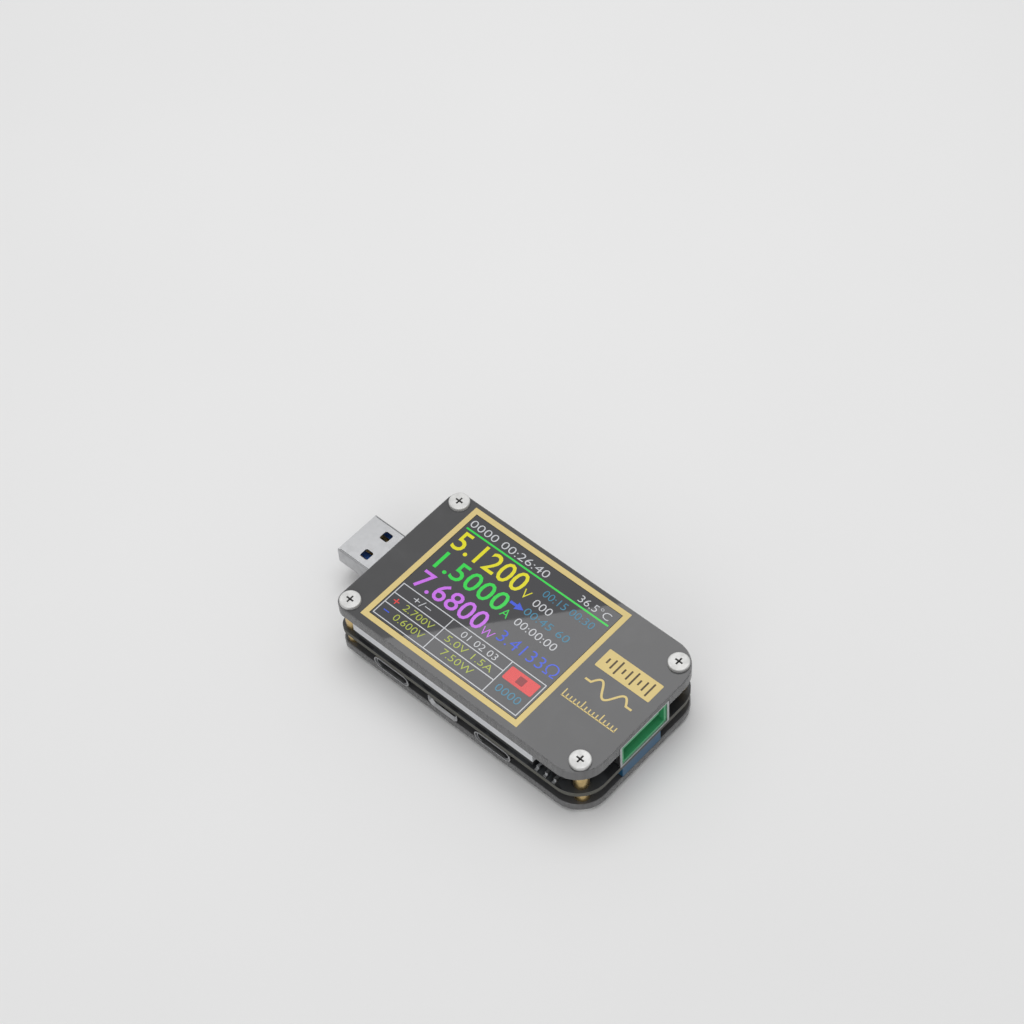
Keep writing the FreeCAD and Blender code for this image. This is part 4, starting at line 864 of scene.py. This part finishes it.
@dataclass
class Screen:
    """What the display shows: three large readings, the side column and the table below them."""

    face: Face
    rule: float = 0.22
    bold: float = 0.012
    left: float = 1.2
    right: float = 40.7
    table_low: float = 1.33
    table_high: float = 10.6
    column: float = 15.3
    stop_column: float = 31.6
    row_heights: tuple[float, float] = (4.8, 7.7)
    header_height: float = 29.62
    header_rule: float = 0.42
    stop_box: tuple[Place, Place] = ((32.3, 6.4), (40.0, 9.8))
    stop_corner: float = 0.3
    stop_square: tuple[Place, Place] = ((35.2, 7.15), (37.1, 9.05))
    square_corner: float = 0.15
    plus: Place = (3.15, 6.25)
    minus: Place = (3.15, 3.2)
    mark_reach: float = 0.75
    mark_rule: float = 0.25
    arrow_middle: float = 21.4
    arrow_ends: tuple[float, float, float] = (21.2, 22.9, 24.8)
    arrow_reach: tuple[float, float] = (0.32, 1.0)

    def readings(self) -> list[Reading]:
        """Returns every number on the screen; the four values agree with each other."""
        bold = self.bold
        return [
            Reading("clock_digits", "0000 00:26:40", (1.3, 30.4, 23.0, 32.3), Light.WHITE),
            Reading("temperature_digits", "36.5°C", (31.6, 30.4, 39.8, 32.3), Light.WHITE),
            Reading("volt_digits", "5.1200", (1.8, 23.7, 20.9, 28.9), Light.YELLOW, bold),
            Reading("volt_unit", "V", (21.5, 23.7, 23.4, 25.9), Light.YELLOW),
            Reading("ampere_digits", "1.5000", (2.6, 17.6, 21.1, 22.5), Light.GREEN, bold),
            Reading("ampere_unit", "A", (21.5, 17.5, 23.4, 19.6), Light.GREEN),
            Reading("watt_digits", "7.6800", (2.3, 11.5, 21.0, 16.3), Light.VIOLET, bold),
            Reading("watt_unit", "W", (21.3, 11.5, 24.3, 13.5), Light.VIOLET),
            Reading("ohm_digits", "3.4133Ω", (25.0, 12.5, 40.6, 15.6), Light.BLUE),
            Reading("timer_digits", "00:15 00:30", (25.1, 26.6, 38.6, 28.4), Light.CYAN),
            Reading("count_digits", "000", (25.0, 23.5, 29.8, 25.4), Light.WHITE),
            Reading("period_digits", "00:45 60", (25.0, 20.8, 36.9, 22.6), Light.CYAN),
            Reading("record_digits", "00:00:00", (25.2, 17.6, 36.2, 19.5), Light.WHITE),
            Reading("sign_header", "+/−", (5.4, 8.25, 10.2, 9.95), Light.WHITE),
            Reading("mode_header", "01 02 03", (19.0, 8.3, 28.6, 9.9), Light.WHITE),
            Reading("upper_line_volts", "2.700V", (5.4, 5.5, 13.4, 7.1), Light.LIME),
            Reading("lower_line_volts", "0.600V", (5.4, 2.4, 13.4, 4.1), Light.LIME),
            Reading("offer_digits", "5.0V 1.5A", (17.2, 5.5, 29.8, 7.1), Light.LIME),
            Reading("power_digits", "7.50W", (18.8, 2.4, 27.0, 4.1), Light.LIME),
            Reading("state_digits", "0000", (33.0, 3.2, 39.3, 5.1), Light.CYAN),
        ]

    def rules(self) -> list[Shape]:
        """Returns the table's outline, its two rows and its two column lines."""
        low, high, end = self.table_low, self.table_high, self.stop_column
        outline = [(self.left, low), (self.right, low), (self.right, high), (self.left, high)]
        rows = [self.face.line([(self.left, y), (end, y)], self.rule) for y in self.row_heights]
        columns = [self.face.line([(x, low), (x, high)], self.rule) for x in (self.column, end)]
        return [self.face.line(outline, self.rule, closed=True), *rows, *columns]

    def arrow(self) -> Shape:
        """Returns the arrow that shows which way the current flows."""
        tail, neck, tip = self.arrow_ends
        shaft, barb = self.arrow_reach
        outline = [(tail, -shaft), (neck, -shaft), (neck, -barb), (tip, 0), (neck, barb),
                   (neck, shaft), (tail, shaft)]
        return self.face.plate(np.array(outline) + (0, self.arrow_middle))

    def mark(self, middle: Place, across: int, up: int) -> Shape:
        """Returns one stroke of a sign, which reaches across or up from its middle."""
        reach = np.array((across, up)) * self.mark_reach
        return self.face.line([middle - reach, middle + reach], self.mark_rule)

    def build(self) -> None:
        """Adds every lit piece."""
        for reading in self.readings():
            finish = reading.light.value
            self.face.write(reading.name, reading.text, reading.box, finish, reading.weight)
        header = [(self.left + self.rule, self.header_height), (self.right, self.header_height)]
        stop = self.face.block(*self.stop_box, radius=self.stop_corner)
        square = self.face.block(*self.stop_square, self.square_corner, OVERLAY)
        lines = {
            "header_rule": ([self.face.line(header, self.header_rule)], Light.GREEN),
            "table_rules": (self.rules(), Light.WHITE),
            "flow_arrow": ([self.arrow()], Light.BLUE),
            "stop_block": ([stop], Light.RED),
            "stop_symbol": ([square], Light.DULL_RED),
            "plus_mark": ([self.mark(self.plus, 1, 0), self.mark(self.plus, 0, 1)], Light.RED),
            "minus_mark": ([self.mark(self.minus, 1, 0)], Light.BLUE),
        }
        for name, (shapes, light) in lines.items():
            add_piece(name, mesh_of(name, shapes), light.value)


@dataclass
class Prints:
    """What is printed on the upper plate: the frame, a label block, a wave and a scale."""

    face: Face
    frame_line: float = 1.3
    label_low: Place = (44.7, 20.7)
    label_high: Place = (58.9, 25.7)
    label_corner: float = 0.25
    wave_start: float = 45.4
    wave_length: float = 12.2
    wave_middle: float = 17.1
    wave_reach: float = 1.7
    scale_start: float = 44.4
    wave_lead: float = 1.5
    wave_line: float = 0.5
    wave_steps: int = 48
    scale_low: float = 11.0
    scale_pitch: float = 0.98
    scale_count: int = 15
    scale_line: float = 0.28
    tick: float = 1.1
    long_tick: float = 1.9
    long_every: int = 5
    bar_count: int = 9
    bar_width: float = 0.42
    bar_inset: float = 1.6
    bar_corner: float = 0.12
    bar_reaches: tuple[float, float, float] = (0.7, 1.25, 1.8)

    def frame(self) -> list:
        """Returns the frame line round the display."""
        wide, deep = self.face.size
        corners = [(0, 0), (wide, 0), (wide, deep), (0, deep)]
        return [self.face.line(corners, self.frame_line, closed=True)]

    def label(self) -> list:
        """Returns the plain label block."""
        return [self.face.block(self.label_low, self.label_high, self.label_corner)]

    def label_marks(self) -> list:
        """Returns bars of three heights on the label, like a level display's."""
        left, low = self.label_low
        right, high = self.label_high
        middle, half = (low + high) / 2, self.bar_width / 2
        marks = []
        places = np.linspace(left + self.bar_inset, right - self.bar_inset, self.bar_count)
        for k, x in enumerate(places):
            reach = self.bar_reaches[k % len(self.bar_reaches)]
            ends = (x - half, middle - reach), (x + half, middle + reach)
            marks.append(self.face.block(*ends, self.bar_corner, OVERLAY))
        return marks

    def wave(self) -> list:
        """Returns a sine of one and a half turns between two level runs.

        The height at share t of its length is the reach times the sine of three half turns of t.
        """
        share = np.linspace(0, 1, self.wave_steps + 1)
        end = self.wave_start + self.wave_length
        x = self.wave_start + self.wave_lead + share * (self.wave_length - 2 * self.wave_lead)
        y = self.wave_middle + self.wave_reach * np.sin(share * 3 * math.pi)
        before, after = [(self.wave_start, self.wave_middle)], [(end, self.wave_middle)]
        path = np.concatenate([before, np.stack([x, y], 1), after])
        return [self.face.line(path, self.wave_line)]

    def scale(self) -> list:
        """Returns a plain scale: a base line and ticks, each fifth one longer."""
        low, half = self.scale_low, self.scale_line / 2
        end = self.scale_start + self.scale_pitch * (self.scale_count - 1)
        base = [(self.scale_start - half, low), (end + half, low)]
        shapes = [self.face.line(base, self.scale_line)]
        for k in range(self.scale_count):
            x = self.scale_start + k * self.scale_pitch
            tall = self.tick if k % self.long_every else self.long_tick
            shapes.append(self.face.line([(x, low), (x, low + tall)], self.scale_line))
        return shapes

    def build(self) -> None:
        """Adds every printed piece."""
        for name, shapes, finish in (
            ("printed_frame", self.frame(), GOLD_INK),
            ("printed_label", self.label(), GOLD_INK),
            ("label_bars", self.label_marks(), DARK_INK),
            ("printed_wave", self.wave(), GOLD_INK),
            ("printed_scale", self.scale(), GOLD_INK),
        ):
            add_piece(name, mesh_of(name, shapes), finish)


# The carried-over parts, and the studio

@dataclass
class Body:
    """The parts that come with the frame, each with its own finish."""

    def dress(self) -> None:
        """Gives each part the finish of its slot."""
        for part in frame["record"]["subparts"]:
            node = frame["nodes"][part["node"]]
            finish = SLOT_FINISHES[part["material_slot"]]
            node.data.materials.clear()
            node.data.materials.append(finish.material())
            LOG.info("%s: %s", part["node"], finish.name)


@dataclass(frozen=True)
class Bundle:
    """Tracks that run side by side: how many, and the corners of the first one."""

    count: int
    route: tuple[Place, ...]


@dataclass
class Tracks:
    """Copper tracks under the mask and plated holes, on both faces of the board."""

    width: float = 0.25
    pitch: float = 0.5
    proud: float = 0.035
    ring_radius: float = 0.24
    ring_width: float = 0.18
    ring_steps: int = 10
    stagger: float = 0.8
    upper: tuple[Bundle, ...] = (
        Bundle(6, ((26.0, 9.0), (24.5, 7.5), (24.5, -9.0), (21.5, -12.0), (-19.0, -12.0))),
        Bundle(4, ((-24.5, -13.8), (-24.5, -9.0))),
        Bundle(3, ((33.5, -12.4), (30.5, -9.4), (26.5, -9.4))),
    )
    lower: tuple[Bundle, ...] = (
        Bundle(4, ((-12.4, -11.8), (-12.4, -8.0), (-8.6, -4.2))),
        Bundle(4, ((2.2, -14.4), (2.2, -9.0), (-1.0, -5.8), (-1.0, -3.6))),
        Bundle(4, ((15.9, -11.8), (15.9, -6.5), (12.8, -3.4), (12.8, -0.8))),
        Bundle(5, ((-22.0, 11.9), (-6.4, 11.9), (-2.6, 8.1), (-2.6, 5.6))),
        Bundle(5, ((18.0, 13.6), (10.0, 13.6), (3.6, 7.2), (1.4, 7.2))),
    )

    def lines(self, bundles: tuple[Bundle, ...], low: float, high: float) -> list:
        """Returns each bundle's tracks; track k's profile lies k pitches to the side."""
        shapes = []
        for bundle in bundles:
            path = np.array(bundle.route, float)
            for k in range(bundle.count):
                profile = strip_profile(self.width, low, high) + (k * self.pitch, 0)
                shapes.append(swept(path, profile))
        return shapes

    def rings(self, bundles: tuple[Bundle, ...], low: float, high: float) -> list:
        """Returns a plated ring at both ends of every track, on a circle's points.

        Track k's end lies k pitches to the left of its run, and every second ring stands one
        stagger further in along the track.

        Args:
            bundles: the tracks.
            low: the rings' underside.
            high: their top.

        Returns:
            Each ring's points and faces.
        """
        turn = np.linspace(0, math.tau, self.ring_steps, endpoint=False)
        circle = self.ring_radius * np.stack([np.cos(turn), np.sin(turn)], 1)
        profile = strip_profile(self.ring_width, low, high)
        shapes = []
        for bundle in bundles:
            path = np.array(bundle.route, float)
            for end, run, inwards in ((path[0], path[1] - path[0], 1),
                                      (path[-1], path[-1] - path[-2], -1)):
                run /= np.linalg.norm(run)
                left = np.array([-run[1], run[0]])
                for k in range(bundle.count):
                    shift = left * self.pitch * k + run * inwards * self.stagger * (k % 2)
                    shapes.append(swept(circle + end + shift, profile, closed=True))
        return shapes

    def build(self) -> None:
        """Adds the tracks and the rings of both faces."""
        under, over = (corner.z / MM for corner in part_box("main_board"))
        faces = {"upper": (self.upper, over - BEDDED, over + self.proud),
                 "lower": (self.lower, under - self.proud, under + BEDDED)}
        gold = SLOT_FINISHES["gold_contact"]
        for side, (bundles, low, high) in faces.items():
            tracks = mesh_of(f"{side}_tracks", self.lines(bundles, low, high))
            rings = mesh_of(f"{side}_hole_rings", self.rings(bundles, low - BEDDED, high + BEDDED))
            add_piece(tracks.name, tracks, TRACK_MASK)
            add_piece(rings.name, rings, gold)


@dataclass
class Plug:
    """Painted shade: dark hair lines along the folds at the long edges of the plug's shell, where
    shade falls in the creases.
    """

    inset: float = 0.42
    width: float = 0.1
    proud: float = 0.012

    def build(self) -> None:
        """Adds a hair line of painted shade along both long edges of the shell's top and of its
        underside.
        """
        low, high = (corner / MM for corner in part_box("plug_shell"))
        panel_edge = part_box("top_plate")[0].x / MM
        shapes = []
        for z in (low.z, high.z):
            profile = strip_profile(self.width, z - self.proud, z + self.proud)
            for y in (low.y + self.inset, high.y - self.inset):
                shapes.append(swept(np.array([(low.x + self.inset, y), (panel_edge, y)]), profile))
        # Painted shade in the creases of the folds.
        add_piece("plug_fold_painted_shade", mesh_of("plug_fold_painted_shade", shapes), RECESS_SHADE)


@dataclass
class Screws:
    """Painted shade in the screw heads: dark crosses laid at the floors of their cross recesses,
    where shade falls.
    """

    arm: float = 1.86
    width: float = 0.4
    floor_depth: float = 0.45
    shade_thickness: float = 0.12

    def centres(self, node: str) -> list[np.ndarray]:
        """Returns the middle of each of a node's four screws, the box of its points a quarter."""
        vertices = frame["nodes"][node].data.vertices
        points = np.empty(len(vertices) * 3)
        vertices.foreach_get("co", points)
        points = points.reshape(-1, 3) / MM
        middle = (points.min(0) + points.max(0)) / 2
        quarters = (points[:, 0] > middle[0]) * 2 + (points[:, 1] > middle[1])
        found = []
        for k in range(4):
            quarter = points[quarters == k]
            found.append((quarter.min(0) + quarter.max(0))[:2] / 2)
        return found

    def shade_crosses(self, node: str, low: float, high: float) -> list:
        """Returns a dark cross of painted shade for each screw of a node, between two heights."""
        profile = strip_profile(self.width, low, high)
        reach = self.arm / 2
        shapes = []
        for x, y in self.centres(node):
            shapes.append(swept(np.array([(x - reach, y), (x + reach, y)]), profile))
            shapes.append(swept(np.array([(x, y - reach), (x, y + reach)]), profile))
        return shapes

    def build(self) -> None:
        """Adds the crosses of painted shade in the upper and the lower screws."""
        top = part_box("top_screws")[1].z / MM - self.floor_depth
        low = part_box("bottom_screws")[0].z / MM + self.floor_depth
        upper = self.shade_crosses("top_screws", top - BEDDED, top + self.shade_thickness)
        lower = self.shade_crosses("bottom_screws", low - self.shade_thickness, low + BEDDED)
        # Dark crosses of painted shade where shade falls in the recesses.
        add_piece("upper_recess_painted_shade", mesh_of("upper_recess_painted_shade", upper), RECESS_SHADE)
        add_piece("lower_recess_painted_shade", mesh_of("lower_recess_painted_shade", lower), RECESS_SHADE)


@dataclass(frozen=True)
class Softbox:
    """An area light: its middle, its turn in degrees from facing down, its sides and its watts."""

    name: str
    place: tuple[float, float, float]
    turn: tuple[float, float, float]
    size: tuple[float, float]
    power: float

    def build(self) -> None:
        """Adds the light."""
        data = bpy.data.lights.new(self.name, "AREA")
        data.shape = "RECTANGLE"
        data.size, data.size_y = self.size
        data.energy = self.power
        light = link(bpy.data.objects.new(self.name, data))
        light.location = self.place
        light.rotation_euler = [math.radians(a) for a in self.turn]


@dataclass
class Studio:
    """Floor, light and camera."""

    lens: float = 90.1
    sensor: float = 36.0
    near: float = 0.01
    azimuth: float = 45.77
    elevation: float = 52.55
    roll: float = -4.71
    distance: float = 0.5516
    aim: Vector = field(default_factory=lambda: Vector((-0.01915, 0.02551, 0.00803)))
    sky: float = 0.52
    floor_size: float = 3.0
    floor_drop: float = 0.05
    paper: Paper = Paper("floor_paper", (0.86, 0.86, 0.86))
    softboxes: tuple[Softbox, ...] = (
        Softbox("overhead_softbox", (-0.100, 0.125, 0.6), (0, 0, 50.3), (0.5, 0.5), 1.7),
        Softbox("front_softbox", (0.25, -0.75, 0.45), (62, 0, 18), (0.6, 0.4), 0.9),
    )

    def camera(self) -> None:
        """Aims the camera.

        It stands at the azimuth and elevation from the aim, and its picture is turned by the roll.
        """
        az, el, roll = (math.radians(a) for a in (self.azimuth, self.elevation, self.roll))
        back = Vector((math.sin(az) * math.cos(el), -math.cos(az) * math.cos(el), math.sin(el)))
        right = Vector((math.cos(az), math.sin(az), 0))
        down = -back.cross(right)
        across = right * math.cos(roll) - down * math.sin(roll)
        below = right * math.sin(roll) + down * math.cos(roll)
        data = bpy.data.cameras.new("camera")
        data.lens = self.lens
        data.sensor_width = self.sensor
        data.clip_start = self.near
        camera = link(bpy.data.objects.new("camera", data))
        turn = Matrix((across, -below, back)).transposed().to_4x4()
        camera.matrix_world = Matrix.Translation(self.aim + back * self.distance) @ turn
        bpy.context.scene.camera = camera

    def build(self) -> None:
        """Adds the floor, the sky, the lights and the camera."""
        world = bpy.data.worlds.new("studio")
        bpy.context.scene.world = world
        world.use_nodes = True
        background = world.node_tree.nodes["Background"]
        background.inputs["Color"].default_value = (1.0, 1.0, 1.0, 1.0)
        background.inputs["Strength"].default_value = self.sky
        half, low = self.floor_size / 2, -self.floor_drop * MM
        corners = [(-half, -half, low), (half, -half, low), (half, half, low), (-half, half, low)]
        mesh = bpy.data.meshes.new("floor")
        mesh.from_pydata(corners, [], [(0, 1, 2, 3)])
        mesh.materials.append(self.paper.material())
        floor = link(bpy.data.objects.new("floor", mesh))
        for softbox in self.softboxes:
            softbox.build()
        self.camera()
        bpy.context.scene.view_settings.view_transform = "Standard"


def main() -> None:
    """Builds the classes in order."""
    logging.basicConfig(level=logging.INFO, format="%(name)s %(message)s")
    Body().dress()
    Screws().build()
    Plug().build()
    Tracks().build()
    face = Face()
    Prints(face).build()
    Screen(face).build()
    Studio().build()


if __name__ == "__main__":
    main()
